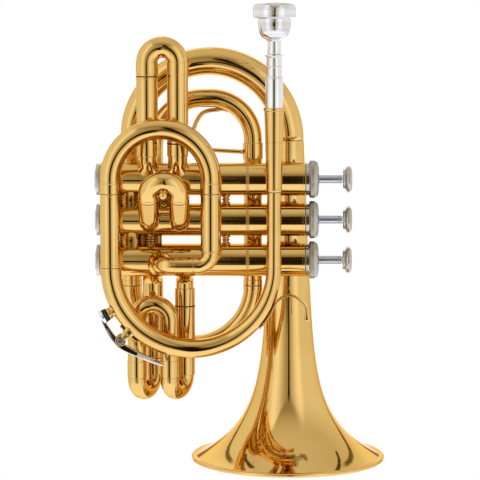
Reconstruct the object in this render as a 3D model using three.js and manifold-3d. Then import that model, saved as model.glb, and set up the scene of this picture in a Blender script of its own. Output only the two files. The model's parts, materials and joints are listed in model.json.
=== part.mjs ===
// A pocket trumpet standing on its bell, in millimetres, +Z up and the player's right hand towards +X.
// Inside the model, depth runs along Y from the plane of the three valves: less is nearer the leadpipe.
import * as THREE from "three";
import { mergeVertices } from "three/addons/utils/BufferGeometryUtils.js";
import Module from "manifold-3d";

const wasm = await Module();
wasm.setup();

// Clearances and cutting
const solderGap = 0.3;
const slidingGap = 0.35;
const cutOverrun = 1.5;
const joinOverlap = 0.6;

// Roundness: sides of a tube, a casing, a small turned piece, a mouthpiece and the bell
const tubeSides = 10;
const boreSides = 8;
const casingSides = 14;
const turnedSides = 10;
const receiverSides = 12;
const cupSides = 20;
const bellSides = 32;
const wireSides = 6;
const ballBands = 5;
// How far a bend's facets may cut inside its true curve
const bendError = 0.45;
// Edges shorter than this, left where two shapes meet, are closed up
const shortestEdge = 0.02;
// Stations of a bent run closer than this are one
const shortestStep = 0.3;
const quarterTurn = Math.PI / 2;
const halfTurn = Math.PI;
const fullTurn = 2 * Math.PI;

// Tube sizes: outer slide tube, bore tube, the tube that slides inside an outer one, and the walls
const outerTubeRadius = 6.35;
const boreTubeRadius = 5.75;
const innerTubeRadius = 5.2;
const tubeWall = 0.6;
const firstSlideTubeRadius = 6.6;
const ferruleLength = 7.4;
const ferruleRise = 0.25;

// Valve block
const valvePitch = 25.3;
const middleValveHeight = 156.3;
const casingRadius = 10.2;
const casingWall = 1.3;
const casingLeft = -76.8;
const casingRight = 50.8;
const casingBandPlace = 14.95;
const casingBandWidth = 1.6;
const casingBandRise = 0.35;
const bottomCapRadius = 9.8;
const bottomCapLength = 3.3;
const bottomCapThread = 2.4;
const topCapRadius = 11.7;
const topCapLength = 8.3;
const topCapShoulder = 2.3;
const topCapShoulderRadius = 10.4;
const topCapThread = 5;
const capRounding = 1.2;
const capWall = 1.8;
const valveStroke = 14;
const pistonRadius = 8.45;
const pistonWall = 0.9;
const pistonEndClearance = 0.5;
const pistonWeb = -8;
const pistonWebThickness = 2.5;
const barrelRight = 43.5;
const barrelTopThickness = 3;
const guideThickness = 3;
const guideHalfWidth = 2.2;
const guideBoreRadius = 3.4;
const guideHubRadius = 5;
const stemRadius = 2.65;
const stemLength = 30;
const buttonRadius = 8.5;
const buttonLength = 6.1;
const buttonSkirtRadius = 6.4;
const buttonSkirtLength = 1.6;
const buttonEdge = 1.5;
const springRadius = 5.6;
const springWireRadius = 0.55;
const springTurns = 6;
const springStepsPerTurn = 6;
const springSides = 4;
const keySpringStepsPerTurn = 8;
const keySpringSides = 5;

// Places along the valves of the tubes between them, and of the turned braces
const knucklePlace = -57.6;
const braceBetweenPlace = 1.4;
const braceRadius = 1.9;
const braceFootRadius = 3.1;
const braceFootLength = 1.1;
const braceCollarRadius = 2.9;

// Front coil: leadpipe, front bow and main tuning slide
const frontDepth = -20;
const leadpipePlace = 31.2;
const tuningLeftPlace = -69.4;
const tuningRightPlace = -7.7;
const frontBowCentreHeight = 128.7;
const receiverTop = 226.9;
const receiverBottom = 175.3;
const receiverTopRadius = 6.05;
const receiverBottomRadius = 4.75;
const receiverBead = 0.45;
const receiverBeadLength = 1.8;
const leadpipeRadius = 4.4;
const frontBowStartRadius = 4.6;
// The front bow widens over this share of its length, and keeps its width after it
const frontBowGrowthShare = 0.625;
// The tuning bow stands clear over the second slide's, and the ferrules end just under its bend
const tuningFerruleOverSecond = 7.26;
const tuningBowOverFerrule = 1.7;
const tuningInnerDepth = 32;
const rightLegEnd = 139.4;
const elbowRadius = 5.35;
const elbowHeight = 129.8;
const elbowBend = 8.4;
const elbowTurnPlace = -39.5;
const elbowFlangeRadius = 7.7;
const elbowFlangeThickness = 1.6;

// Mouthpiece
const mouthpieceTop = 291;
const rimRadius = 13.5;
const rimHeight = 9.2;
const rimRounding = 2.6;
const cupRadius = 9.85;
const cupInnerRadius = 8.2;
const cupDepth = 12;
const throatRadius = 1.9;
// The bowl inside as shares of the cup's radius and depth, then the cup outside as shares of its rise
const bowlShares = [[1, 0.5], [0.5, 0.85]];
const cupBackShares = [[0.5, 0.17], [1, 0.5]];
const cupOuterHeight = 15.6;
const waistRadius = 4.25;
const waistHeight = 6.2;
const collarRadius = 5.6;
const collarHeight = 3.8;
const shankRadius = 5.15;
const shankInsertion = 22;
const shankEndRadius = 4.45;

// First slide
const firstDepth = -6;
const firstLeftPlace = -47.2;
const firstRightPlace = -28.3;
const firstBowCentreHeight = 254.3;
const firstLeftJoint = 245.3;
const firstRightJoint = 203.9;
const firstKnuckleTop = 196.4;
const firstInnerClearance = 3;
const jointLineGap = 0.6;
const firstTurnHeight = 192.6;
const knuckleBend = 7;

// Second slide: it leans towards the player's side, and its reaches are measured up the lean from its elbows
const secondLean = Math.PI / 6;
const secondTurnDepth = -15.5;
const secondLeftPlace = -46;
const secondRightPlace = -27;
const secondFerruleReach = 17.3;
const secondFerruleLength = 1.6;
const secondBowOverFerrule = 1.7;
const secondBowTubeRadius = 6.1;
const secondElbowRadius = 6.3;
const secondElbowBend = 8;
const secondInnerClearance = 1.3;
// The knob hangs from the bow's crown, turned this far round it from upright
const knobTurn = 2.757;
const knobPlateRadius = 3.1;
const knobPlateRise = 0.6;
const knobPlateLength = 0.5;
const knobNeckRadius = 1.5;
const knobWaistRadius = 2;
const knobWaistLength = 0.3;
const knobBallRadius = 2.5;

// Third slide
const thirdFarDepth = 10;
const thirdNearDepth = -6.4;
const thirdLeftPlace = -44.6;
const thirdRightPlace = -24.5;
const thirdNearLeftPlace = -54.2;
const thirdNearRightPlace = -33.8;
const thirdFerruleTop = 112;
const thirdRightJoint = 101.1;
const thirdLeftJoint = 68.4;
const thirdNearFerruleTop = 68.4;
const thirdNearFerruleBottom = 57.8;
const thirdBowCentreHeight = 57.6;
const thirdCrownCentreHeight = 93.6;
const thirdInnerClearance = 4;
const thirdTurnHeight = 117.5;

// Rear coil and bell
const bellDepth = 25;
const bellPlace = 41;
const archRightPlace = 18.5;
const archLeftPlace = -44.2;
const archCentreHeight = 199.7;
const archBend = 9;
const archFerruleBottom = 192.5;
const archFerruleTop = 202.8;
const rearBowLeftPlace = -58.5;
const rearBowCentreHeight = 111.9;
const bellBowCentreHeight = 204.7;
const bellBowEndRadius = 9.7;
const bellRimRadius = 62;
const bellRimWire = 1.35;
const bellWall = 0.9;
const bellConeRadius = 18.6;
const bellConeSlope = 0.0435;
const bellFlareHeight = 20.9;
const bellFlareSteps = 10;
// The steps up the bell lengthen by this power, so they are close together at the flare
const bellStepPower = 2.2;

// Finger hook, thumb ring and the braces behind the tubes
const hookThickness = 1.4;
const hookWidth = 5.6;
const hookReach = 20.3;
const hookRise = 6.9;
const hookFootTurn = -0.748;
const hookLeaveTurn = -0.45;
const hookFootSteps = 3;
const hookSteps = 16;
const hookTipRadius = 1.9;
const hookTipLength = 2.8;
// Points of the free part of the hook as shares of its reach and rise
const hookShares = [[0.08, 0.42], [0.28, 0.86], [0.54, 1], [0.8, 0.52], [0.97, -0.12], [1, -1.45]];
const ringWireRadius = 1.35;
// The straight side's height under the arch's centre, and its fall from there to the arch's right leg
const ringRodHeight = 198.4;
const ringRodFall = 1.4;
const ringSteps = 24;
// Points of the ring's round side as shares of the arch's inner radius and of a half turn
const ringShares = [[0.935, 0.3], [0.935, 0.37], [0.925, 0.412], [0.856, 0.467], [0.761, 0.526],
  [0.669, 0.578], [0.591, 0.631], [0.497, 0.685], [0.357, 0.764], [0.2, 0.891], [0.0872, 1.183]];
// Points of its straight side as shares of the way from the arch's centre to its right leg
const ringRodShares = [0.28, 0.64, 1];
// The rear brace meets the first casing this far over its axis
const rearBraceOverValve = 5.6;

// Water key on the front bow: angles about the bow's centre, and heights over its tube
const waterKeyNippleTurn = halfTurn + 0.508;
const waterKeyPivotTurn = halfTurn + 0.796;
const waterKeyTongueTurn = halfTurn + 1.288;
const nippleRadius = 2.9;
const nippleHeight = 2.6;
const corkRadius = 4;
const corkHeight = 2.6;
const corkCupHeight = 2.2;
const corkCupRadius = 4.6;
const pivotHeight = 6.6;
const pivotHubRadius = 2.5;
const pivotScrewRadius = 1;
const pivotScrewHead = 1.9;
const pivotScrewHeadLength = 0.8;
const lugOffset = 4;
const lugThickness = 1.1;
const lugRadius = 2.7;
const lugWebWidth = 4.3;
const saddleFoot = 1;
const hubLength = 3.2;
const leverStations = 6;
const leverSteps = 12;
// The bar drops from the cork's cup to the screw's height over this share of its length
const leverDropShare = 0.42;
const leverThickness = 1.3;
const leverWidth = 4.4;
const tongueRadius = 4.2;
const keySpringRadius = 2.1;
const keySpringWire = 0.32;
const keySpringTurns = 4;

// Colours and finishes
const finish = (color, roughness, metalness) =>
  new THREE.MeshStandardMaterial({ color, roughness, metalness });
const lacqueredBrass = () => finish(0xd9a441, 0.18, 1);
const nickelPlate = () => finish(0xb5b0a8, 0.25, 1);
const silverPlate = () => finish(0xdcdcda, 0.12, 1);
const springSteel = () => finish(0x9a9c9e, 0.35, 1);
const guideNylon = () => finish(0xe9e6dc, 0.6, 0);
const corkBlack = () => finish(0x1c1a18, 0.9, 0);

const root = new THREE.Group();
root.name = "pocket_trumpet";
// The bell's rim and the bottom caps reach furthest to the sides, and the origin is midway between them
const rightmost = bellPlace + bellRimRadius;
const leftmost = casingLeft - bottomCapLength;
root.position.set(-(rightmost + leftmost) / 2, -bellDepth, 0);
const mainBore = boreTubeRadius - tubeWall;

function solid(name, geometry, material, group = root) {
  const mesh = new THREE.Mesh(outward(geometry), material);
  mesh.name = name;
  group.add(mesh);
  return mesh;
}

// Six times the volume that the triangles enclose is negative when they face inwards
function outward(geometry) {
  const closed = geometry.index ? geometry.toNonIndexed() : geometry;
  const place = closed.getAttribute("position");
  const corners = [new THREE.Vector3(), new THREE.Vector3(), new THREE.Vector3()];
  let volume = 0;
  for (let first = 0; first < place.count; first += corners.length) {
    corners.forEach((corner, turn) => corner.fromBufferAttribute(place, first + turn));
    volume += corners[0].dot(corners[1].clone().cross(corners[2]));
  }
  const bare = mergeVertices(new THREE.BufferGeometry().setAttribute("position", place.clone()));
  if (volume < 0) {
    bare.setIndex(Array.from(bare.index.array).reverse());
  }
  return bare;
}

// Joining and cutting
function toManifold(geometry) {
  const bare = outward(geometry);
  return new wasm.Manifold(new wasm.Mesh({
    numProp: 3,
    vertProperties: new Float32Array(bare.getAttribute("position").array),
    triVerts: new Uint32Array(bare.index.array),
  }));
}

function fromManifold(body) {
  const mesh = body.simplify(shortestEdge).getMesh();
  const geometry = new THREE.BufferGeometry();
  const places = new Float32Array(mesh.vertProperties);
  geometry.setAttribute("position", new THREE.BufferAttribute(places, mesh.numProp));
  geometry.setIndex(Array.from(mesh.triVerts));
  return geometry;
}

const common = (one, other) => fromManifold(toManifold(one).intersect(toManifold(other)));
const joined = (...shapes) => fromManifold(shapes.map(toManifold).reduce((all, next) => all.add(next)));
const cut = (shape, ...tools) =>
  fromManifold(tools.map(toManifold).reduce((rest, tool) => rest.subtract(tool), toManifold(shape)));

// Turned pieces: a closed outline of [radius, height] pairs spun about Z, or about X or Y
const points = (pairs) => pairs.map(([radius, height]) => new THREE.Vector2(radius, height));
const turned = (pairs, sides) => new THREE.LatheGeometry(points(pairs), sides).rotateX(quarterTurn);
const turnedAlongX = (pairs, sides) => turned(pairs, sides).rotateY(quarterTurn);
const turnedAlongY = (pairs, sides) => turned(pairs, sides).rotateX(-quarterTurn);
const closedRing = (pairs) => [...pairs, pairs[0]];

// Points of a quarter round between two angles about a centre, for an outline
function rounded(centreRadius, centreHeight, radius, from, to, steps) {
  return Array.from({ length: steps + 1 }, (_, step) => {
    const turn = from + (to - from) * step / steps;
    return [centreRadius + radius * Math.cos(turn), centreHeight + radius * Math.sin(turn)];
  });
}

const straightTube = (outer, inner, from, to, sides = tubeSides) =>
  turned(closedRing([[inner, from], [outer, from], [outer, to], [inner, to]]), sides);

// A plumber's run: straights between corners, each corner bent to one radius
class PipeRun extends THREE.Curve {
  constructor(corners, bendRadius) {
    super();
    this.places = [];
    this.directions = [];
    const ways = corners.slice(1).map((corner, turn) => corner.clone().sub(corners[turn]).normalize());
    this.addStation(corners[0], ways[0]);
    ways.slice(1).forEach((way, turn) => this.addBend(corners[turn + 1], ways[turn], way, bendRadius));
    this.addStation(corners.at(-1), ways.at(-1));
  }

  addStation(place, direction) {
    const last = this.places.at(-1);
    if (!last || last.distanceTo(place) > shortestStep) {
      this.places.push(place.clone());
      this.directions.push(direction.clone());
    }
  }

  addBend(corner, before, after, radius) {
    const turning = before.angleTo(after);
    const start = corner.clone().addScaledVector(before, -radius * Math.tan(turning / 2));
    const inward = after.clone().addScaledVector(before, -after.dot(before)).normalize();
    const centre = start.clone().addScaledVector(inward, radius);
    const widestStep = 2 * Math.acos(1 - bendError / radius);
    const steps = Math.round(turning / widestStep) + 1;
    for (let step = 0; step <= steps; step += 1) {
      const turn = turning * step / steps;
      const arm = inward.clone().multiplyScalar(-Math.cos(turn)).addScaledVector(before, Math.sin(turn));
      const way = before.clone().multiplyScalar(Math.cos(turn)).addScaledVector(inward, Math.sin(turn));
      this.addStation(centre.clone().addScaledVector(arm, radius), way);
    }
  }

  get steps() {
    return this.places.length - 1;
  }

  getPoint(share) {
    return this.places[Math.round(share * this.steps)].clone();
  }

  getPointAt(share) {
    return this.getPoint(share);
  }

  getTangentAt(share) {
    return this.directions[Math.round(share * this.steps)].clone();
  }

  // Distance along the run at each station, as a share of the whole
  lengthShares() {
    const lengths = [0];
    this.places.slice(1).forEach((place, turn) => {
      lengths.push(lengths[turn] + place.distanceTo(this.places[turn]));
    });
    return lengths.map((length) => length / lengths.at(-1));
  }
}

const ringOf = (radius, sides) => Array.from({ length: sides }, (_, side) =>
  new THREE.Vector2(radius * Math.cos(fullTurn * side / sides), radius * Math.sin(fullTurn * side / sides)));

// A hidden bore has few sides, and one that a slide runs in has as many as the slide
function tubeAlong(run, outer, inner, holeSides = boreSides) {
  const shape = new THREE.Shape(ringOf(outer, tubeSides));
  if (inner > 0) {
    shape.holes.push(new THREE.Path(ringOf(inner, holeSides)));
  }
  return new THREE.ExtrudeGeometry(shape, { steps: run.steps, extrudePath: run });
}

// Widens or narrows a tube: each point moves from its nearest station by the radius that station should have
function taper(geometry, run, startRadius, radiusAt) {
  const place = geometry.getAttribute("position");
  const shares = run.lengthShares();
  const point = new THREE.Vector3();
  for (let corner = 0; corner < place.count; corner += 1) {
    point.fromBufferAttribute(place, corner);
    const distances = run.places.map((station) => station.distanceToSquared(point));
    const nearest = distances.indexOf(Math.min(...distances));
    const centre = run.places[nearest];
    point.sub(centre).multiplyScalar(radiusAt(shares[nearest]) / startRadius).add(centre);
    place.setXYZ(corner, point.x, point.y, point.z);
  }
  return geometry;
}

const at = (x, y, z) => new THREE.Vector3(x, y, z);
const bend = (corners, radius) => new PipeRun(corners, radius);

// The first valve is the highest, nearest the mouthpiece
const valveHeights = [1, 0, -1].map((turn) => middleValveHeight + turn * valvePitch);
const secondFerruleEnd = secondFerruleReach + secondFerruleLength;
const secondBowReach = secondFerruleEnd + secondBowOverFerrule;
const secondBowCentreHeight = valveHeights[1] + secondBowReach * Math.cos(secondLean);
const tuningFerruleTop = secondBowCentreHeight + tuningFerruleOverSecond;
const tuningBowCentreHeight = tuningFerruleTop + tuningBowOverFerrule;
const casingBore = casingRadius - casingWall;
// Pressed, a piston stops just short of the bottom cap's thread
const pistonLeft = casingLeft + bottomCapThread + valveStroke + pistonEndClearance;

// What a tube needs taken off its end to sit on the casings' outsides
function casingCutter(height) {
  return turnedAlongX([[0, casingLeft], [casingRadius + solderGap, casingLeft],
    [casingRadius + solderGap, casingRight], [0, casingRight]], casingSides).translate(0, 0, height);
}

const seatedOn = (valve, geometry) => cut(geometry, casingCutter(valveHeights[valve]));

function casing() {
  const bandHalf = casingBandWidth / 2;
  const bandRadius = casingRadius + casingBandRise;
  return turnedAlongX(closedRing([
    [casingBore, casingLeft], [casingRadius, casingLeft],
    [casingRadius, casingBandPlace - bandHalf], [bandRadius, casingBandPlace - bandHalf],
    [bandRadius, casingBandPlace + bandHalf], [casingRadius, casingBandPlace + bandHalf],
    [casingRadius, casingRight], [casingBore, casingRight],
  ]), casingSides);
}

function bottomCap() {
  const left = casingLeft - bottomCapLength;
  const threadRadius = casingBore - slidingGap;
  return turnedAlongX([
    [0, left],
    ...rounded(bottomCapRadius - capRounding, left + capRounding, capRounding, -quarterTurn, 0, 2),
    [bottomCapRadius, casingLeft - solderGap], [threadRadius, casingLeft - solderGap],
    [threadRadius, casingLeft + bottomCapThread], [threadRadius - capWall, casingLeft + bottomCapThread],
    [threadRadius - capWall, left + capWall], [0, left + capWall],
  ], casingSides);
}

function topCap() {
  const start = casingRight + solderGap;
  const flangeStart = start + topCapShoulder;
  const end = start + topCapLength;
  const threadRadius = casingBore - slidingGap;
  const holeRadius = stemRadius + slidingGap;
  return turnedAlongX(closedRing([
    [threadRadius - capWall, start - topCapThread], [threadRadius, start - topCapThread],
    [threadRadius, start], [topCapShoulderRadius, start], [topCapShoulderRadius, flangeStart],
    ...rounded(topCapRadius - capRounding, flangeStart + capRounding, capRounding, -quarterTurn, 0, 1),
    ...rounded(topCapRadius - capRounding, end - capRounding, capRounding, 0, quarterTurn, 2),
    [holeRadius, end], [holeRadius, end - capWall], [threadRadius - capWall, end - capWall],
  ]), casingSides);
}

// The piston with its spring barrel: the body is open at its foot, and two slots let the guide through
function piston() {
  const bore = pistonRadius - pistonWall;
  const barrelFloor = pistonWeb + pistonWebThickness;
  const body = turnedAlongX([
    [0, pistonWeb], [bore, pistonWeb], [bore, pistonLeft], [pistonRadius, pistonLeft],
    [pistonRadius, barrelRight], [0, barrelRight],
  ], casingSides);
  const hollow = turnedAlongX([
    [0, barrelFloor], [bore, barrelFloor], [bore, barrelRight - barrelTopThickness],
    [0, barrelRight - barrelTopThickness],
  ], casingSides);
  const slotLength = guideThickness + valveStroke + 2 * slidingGap + cutOverrun;
  const slotWidth = 2 * (guideHalfWidth + slidingGap);
  const slot = new THREE.BoxGeometry(slotLength, slotWidth, 2 * (pistonRadius + cutOverrun));
  slot.translate(barrelFloor + solderGap + slotLength / 2, 0, 0);
  return cut(body, hollow, slot);
}

// The guide rides in the barrel's slots. It stays with the casing, and the spring pushes off it
const guideLeft = pistonWeb + pistonWebThickness + solderGap + slidingGap;
function valveGuide() {
  const hub = turnedAlongX(closedRing([
    [guideBoreRadius, guideLeft], [guideHubRadius, guideLeft],
    [guideHubRadius, guideLeft + guideThickness], [guideBoreRadius, guideLeft + guideThickness],
  ]), turnedSides);
  const bar = new THREE.BoxGeometry(guideThickness, 2 * guideHalfWidth, 2 * (casingBore - slidingGap));
  bar.translate(guideLeft + guideThickness / 2, 0, 0);
  const plug = (radius) => turnedAlongX([
    [0, guideLeft - cutOverrun], [radius, guideLeft - cutOverrun],
    [radius, guideLeft + guideThickness + cutOverrun], [0, guideLeft + guideThickness + cutOverrun],
  ], casingSides);
  return cut(joined(hub, common(bar, plug(casingBore - slidingGap))), plug(guideBoreRadius));
}

// A helix about X as one closed tube, its ends flat
class Helix extends THREE.Curve {
  constructor(radius, from, to, turns) {
    super();
    Object.assign(this, { radius, from, to, turns });
  }

  getPoint(share) {
    const turn = fullTurn * this.turns * share;
    const along = this.from + (this.to - this.from) * share;
    return at(along, this.radius * Math.cos(turn), this.radius * Math.sin(turn));
  }
}

function coilSpring(radius, wireRadius, from, to, turns, stepsPerTurn, sides) {
  const helix = new Helix(radius, from + wireRadius, to - wireRadius, turns);
  const shape = new THREE.Shape(ringOf(wireRadius, sides));
  return new THREE.ExtrudeGeometry(shape, { steps: turns * stepsPerTurn, extrudePath: helix });
}

function valveStem() {
  const left = barrelRight + solderGap;
  const right = left + stemLength;
  return turnedAlongX([[0, left], [stemRadius, left], [stemRadius, right], [0, right]], turnedSides);
}

function fingerButton() {
  const left = barrelRight + solderGap + stemLength + solderGap;
  const right = left + buttonLength;
  const dishStart = left + buttonSkirtLength;
  return turnedAlongX([
    [0, left], [buttonSkirtRadius, left], [buttonSkirtRadius, dishStart],
    [buttonRadius - buttonEdge, dishStart],
    ...rounded(buttonRadius - buttonEdge, dishStart + buttonEdge, buttonEdge, -quarterTurn, 0, 1),
    ...rounded(buttonRadius - buttonEdge, right - buttonEdge, buttonEdge, 0, quarterTurn, 2),
    [0, right],
  ], casingSides);
}

valveHeights.forEach((height, turn) => {
  const valve = new THREE.Group();
  valve.position.z = height;
  root.add(valve);
  const number = turn + 1;
  solid(`valve_casing_${number}`, casing(), lacqueredBrass(), valve);
  solid(`bottom_cap_${number}`, bottomCap(), nickelPlate(), valve);
  solid(`top_cap_${number}`, topCap(), nickelPlate(), valve);
  solid(`piston_${number}`, piston(), nickelPlate(), valve);
  solid(`valve_guide_${number}`, valveGuide(), guideNylon(), valve);
  const springStart = guideLeft + guideThickness + solderGap;
  const springEnd = barrelRight - barrelTopThickness - solderGap;
  const spring = coilSpring(springRadius, springWireRadius, springStart, springEnd, springTurns,
    springStepsPerTurn, springSides);
  solid(`valve_spring_${number}`, spring, springSteel(), valve);
  solid(`valve_stem_${number}`, valveStem(), nickelPlate(), valve);
  solid(`finger_button_${number}`, fingerButton(), nickelPlate(), valve);
});

// Between the casings: the air passage and the turned brace
for (const [upper, lower] of [[0, 1], [1, 2]]) {
  const label = `${upper + 1}${lower + 1}`;
  const middle = (valveHeights[upper] + valveHeights[lower]) / 2;
  const knuckle = straightTube(boreTubeRadius, mainBore, -valvePitch / 2, valvePitch / 2);
  knuckle.translate(knucklePlace, 0, middle);
  solid(`valve_knuckle_${label}`, seatedOn(upper, seatedOn(lower, knuckle)), lacqueredBrass());
  const half = valvePitch / 2 - casingRadius - solderGap;
  const brace = turned([
    [0, -half], [braceFootRadius, -half], [braceFootRadius, braceFootLength - half],
    [braceRadius, braceFootLength - half], [braceCollarRadius, 0], [braceRadius, half - braceFootLength],
    [braceFootRadius, half - braceFootLength], [braceFootRadius, half], [0, half],
  ], turnedSides);
  solid(`casing_brace_${label}`, brace.translate(braceBetweenPlace, 0, middle), lacqueredBrass());
}

// Mouthpiece, all heights taken down from its rim
const rimBottom = mouthpieceTop - rimHeight;
const cupBottom = rimBottom - cupOuterHeight;
const waistBottom = cupBottom - waistHeight;
const collarBottom = waistBottom - collarHeight;
const shankBottom = receiverTop - shankInsertion;
const rimBite = cupInnerRadius + rimRounding;
const mouthpiece = turned(closedRing([
  [throatRadius, mouthpieceTop - cupDepth], [throatRadius, shankBottom + cupDepth],
  [shankEndRadius - tubeWall, shankBottom], [shankEndRadius, shankBottom],
  [shankRadius, collarBottom], [collarRadius, collarBottom], [collarRadius, waistBottom],
  [waistRadius, waistBottom], [waistRadius, cupBottom],
  ...cupBackShares.map(([out, up]) =>
    [waistRadius + (cupRadius - waistRadius) * out, cupBottom + cupOuterHeight * up]),
  [cupRadius, rimBottom], [rimRadius, rimBottom],
  ...rounded(rimRadius - rimRounding, mouthpieceTop - rimRounding, rimRounding, 0, quarterTurn, 3),
  [rimBite, mouthpieceTop],
  ...rounded(rimBite, mouthpieceTop - rimRounding / 2, rimRounding / 2, quarterTurn, halfTurn, 2),
  ...bowlShares.map(([out, down]) => [cupInnerRadius * out, mouthpieceTop - cupDepth * down]),
]), cupSides);
solid("mouthpiece", mouthpiece.translate(leadpipePlace, frontDepth, 0), silverPlate());

// The receiver's bore follows the shank's taper, and narrows to the leadpipe's below it
const shankTaper = (shankRadius - shankEndRadius) / (collarBottom - shankBottom);
const shankAtReceiver = shankEndRadius + shankTaper * shankInsertion;
const beadFoot = receiverTop - receiverBeadLength;
const receiver = turned(closedRing([
  [leadpipeRadius - tubeWall, receiverBottom], [receiverBottomRadius, receiverBottom],
  [receiverTopRadius, beadFoot], [receiverTopRadius + receiverBead, beadFoot],
  [receiverTopRadius + receiverBead, receiverTop], [shankAtReceiver + slidingGap, receiverTop],
  [shankEndRadius + slidingGap, shankBottom], [leadpipeRadius - tubeWall, shankBottom - solderGap],
]), receiverSides);
solid("mouthpiece_receiver", receiver.translate(leadpipePlace, frontDepth, 0), lacqueredBrass());

const frontBowTop = frontBowCentreHeight - solderGap;
const leadpipe = straightTube(leadpipeRadius, leadpipeRadius - tubeWall, frontBowCentreHeight,
  receiverBottom - solderGap, turnedSides);
solid("leadpipe", leadpipe.translate(leadpipePlace, frontDepth, 0), lacqueredBrass());

// Front bow: from the leadpipe's end round to the left tuning tube, widening as it goes
const frontBowRadius = (leadpipePlace - tuningLeftPlace) / 2;
const frontBowCentre = at((leadpipePlace + tuningLeftPlace) / 2, frontDepth, frontBowCentreHeight);
const frontBowRun = bend([
  at(leadpipePlace, frontDepth, frontBowTop),
  at(leadpipePlace, frontDepth, frontBowTop - frontBowRadius),
  at(tuningLeftPlace, frontDepth, frontBowTop - frontBowRadius),
  at(tuningLeftPlace, frontDepth, frontBowTop),
], frontBowRadius);
const frontBowTube = tubeAlong(frontBowRun, frontBowStartRadius, frontBowStartRadius - tubeWall);
const frontBowGrowth = outerTubeRadius - frontBowStartRadius;
const frontBowRadiusAt = (share) =>
  frontBowStartRadius + frontBowGrowth * Math.min(1, share / frontBowGrowthShare);
// The bow's outside with the gap of a soldered seam, which cuts the seats of what it carries
function frontBowSeat() {
  const seatRadius = frontBowStartRadius + solderGap;
  const rod = tubeAlong(frontBowRun, seatRadius, 0);
  return taper(rod, frontBowRun, seatRadius, (share) => frontBowRadiusAt(share) + solderGap);
}
solid("front_bow", taper(frontBowTube, frontBowRun, frontBowStartRadius, frontBowRadiusAt),
  lacqueredBrass());

// Main tuning slide: two outer tubes, and the bow with the inner tubes that slide in them
const tuningTubeTop = tuningFerruleTop - ferruleLength;
const slideBore = outerTubeRadius - tubeWall;
for (const [side, place, foot] of [["left", tuningLeftPlace, frontBowCentreHeight],
  ["right", tuningRightPlace, rightLegEnd + solderGap]]) {
  const tube = straightTube(outerTubeRadius, slideBore, foot, tuningTubeTop);
  solid(`tuning_tube_${side}`, tube.translate(place, frontDepth, 0), lacqueredBrass());
}
const tuningBowRadius = (tuningRightPlace - tuningLeftPlace) / 2;
const tuningBowStart = tuningFerruleTop - joinOverlap;
const tuningRun = bend([
  at(tuningLeftPlace, frontDepth, tuningBowStart),
  at(tuningLeftPlace, frontDepth, tuningBowCentreHeight + tuningBowRadius),
  at(tuningRightPlace, frontDepth, tuningBowCentreHeight + tuningBowRadius),
  at(tuningRightPlace, frontDepth, tuningBowStart),
], tuningBowRadius);
const tuningLegs = [tuningLeftPlace, tuningRightPlace].flatMap((place) => [
  straightTube(innerTubeRadius, innerTubeRadius - tubeWall, tuningTubeTop - tuningInnerDepth,
    tuningFerruleTop),
  straightTube(outerTubeRadius + ferruleRise, innerTubeRadius - tubeWall / 2, tuningTubeTop + solderGap,
    tuningFerruleTop),
].map((leg) => leg.translate(place, frontDepth, 0)));
const tuningBow = tubeAlong(tuningRun, outerTubeRadius, innerTubeRadius - tubeWall);
solid("tuning_slide", joined(tuningBow, ...tuningLegs), lacqueredBrass());

// From the tuning slide's right tube round into the third valve
const elbowRun = bend([
  at(tuningRightPlace, frontDepth, rightLegEnd), at(tuningRightPlace, frontDepth, elbowHeight),
  at(elbowTurnPlace, frontDepth, elbowHeight), at(elbowTurnPlace, -casingBore, elbowHeight),
], elbowBend);
const elbowFlangeStart = -casingRadius - 2 * elbowFlangeThickness;
const elbowFlange = turnedAlongY([
  [0, elbowFlangeStart], [elbowRadius, elbowFlangeStart],
  [elbowFlangeRadius, -casingRadius - elbowFlangeThickness / 2],
  [elbowFlangeRadius, -casingBore], [0, -casingBore],
], turnedSides).translate(elbowTurnPlace, 0, elbowHeight);
const elbowBoreTool = turnedAlongY([
  [0, elbowFlangeStart - cutOverrun], [elbowRadius - tubeWall, elbowFlangeStart - cutOverrun],
  [elbowRadius - tubeWall, cutOverrun - casingBore], [0, cutOverrun - casingBore],
], tubeSides).translate(elbowTurnPlace, 0, elbowHeight);
solid("third_valve_elbow", seatedOn(2, joined(tubeAlong(elbowRun, elbowRadius, elbowRadius - tubeWall),
  cut(elbowFlange, elbowBoreTool))), lacqueredBrass());

// First slide. Its left leg slides inside a fixed tube, its right leg over one
const firstOuterRadius = firstSlideTubeRadius;
const firstBore = firstOuterRadius - tubeWall;
const firstBowRadius = (firstRightPlace - firstLeftPlace) / 2;
const firstKnuckle = (place, radius) => tubeAlong(bend([
  at(place, firstDepth, firstKnuckleTop + joinOverlap), at(place, firstDepth, firstTurnHeight),
  at(place, 0, valveHeights[0]),
], knuckleBend), radius, innerTubeRadius - tubeWall);
solid("first_slide_outer_tube", seatedOn(0, joined(
  straightTube(firstOuterRadius, firstBore, firstKnuckleTop, firstLeftJoint)
    .translate(firstLeftPlace, firstDepth, 0),
  firstKnuckle(firstLeftPlace, boreTubeRadius + joinOverlap / 2),
)), lacqueredBrass());
solid("first_slide_inner_tube", seatedOn(0, joined(
  straightTube(innerTubeRadius, innerTubeRadius - tubeWall, firstKnuckleTop,
    firstBowCentreHeight - firstInnerClearance).translate(firstRightPlace, firstDepth, 0),
  straightTube(firstOuterRadius, innerTubeRadius - tubeWall / 2, firstKnuckleTop, firstRightJoint)
    .translate(firstRightPlace, firstDepth, 0),
  firstKnuckle(firstRightPlace, boreTubeRadius + joinOverlap / 2),
)), lacqueredBrass());
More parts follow.
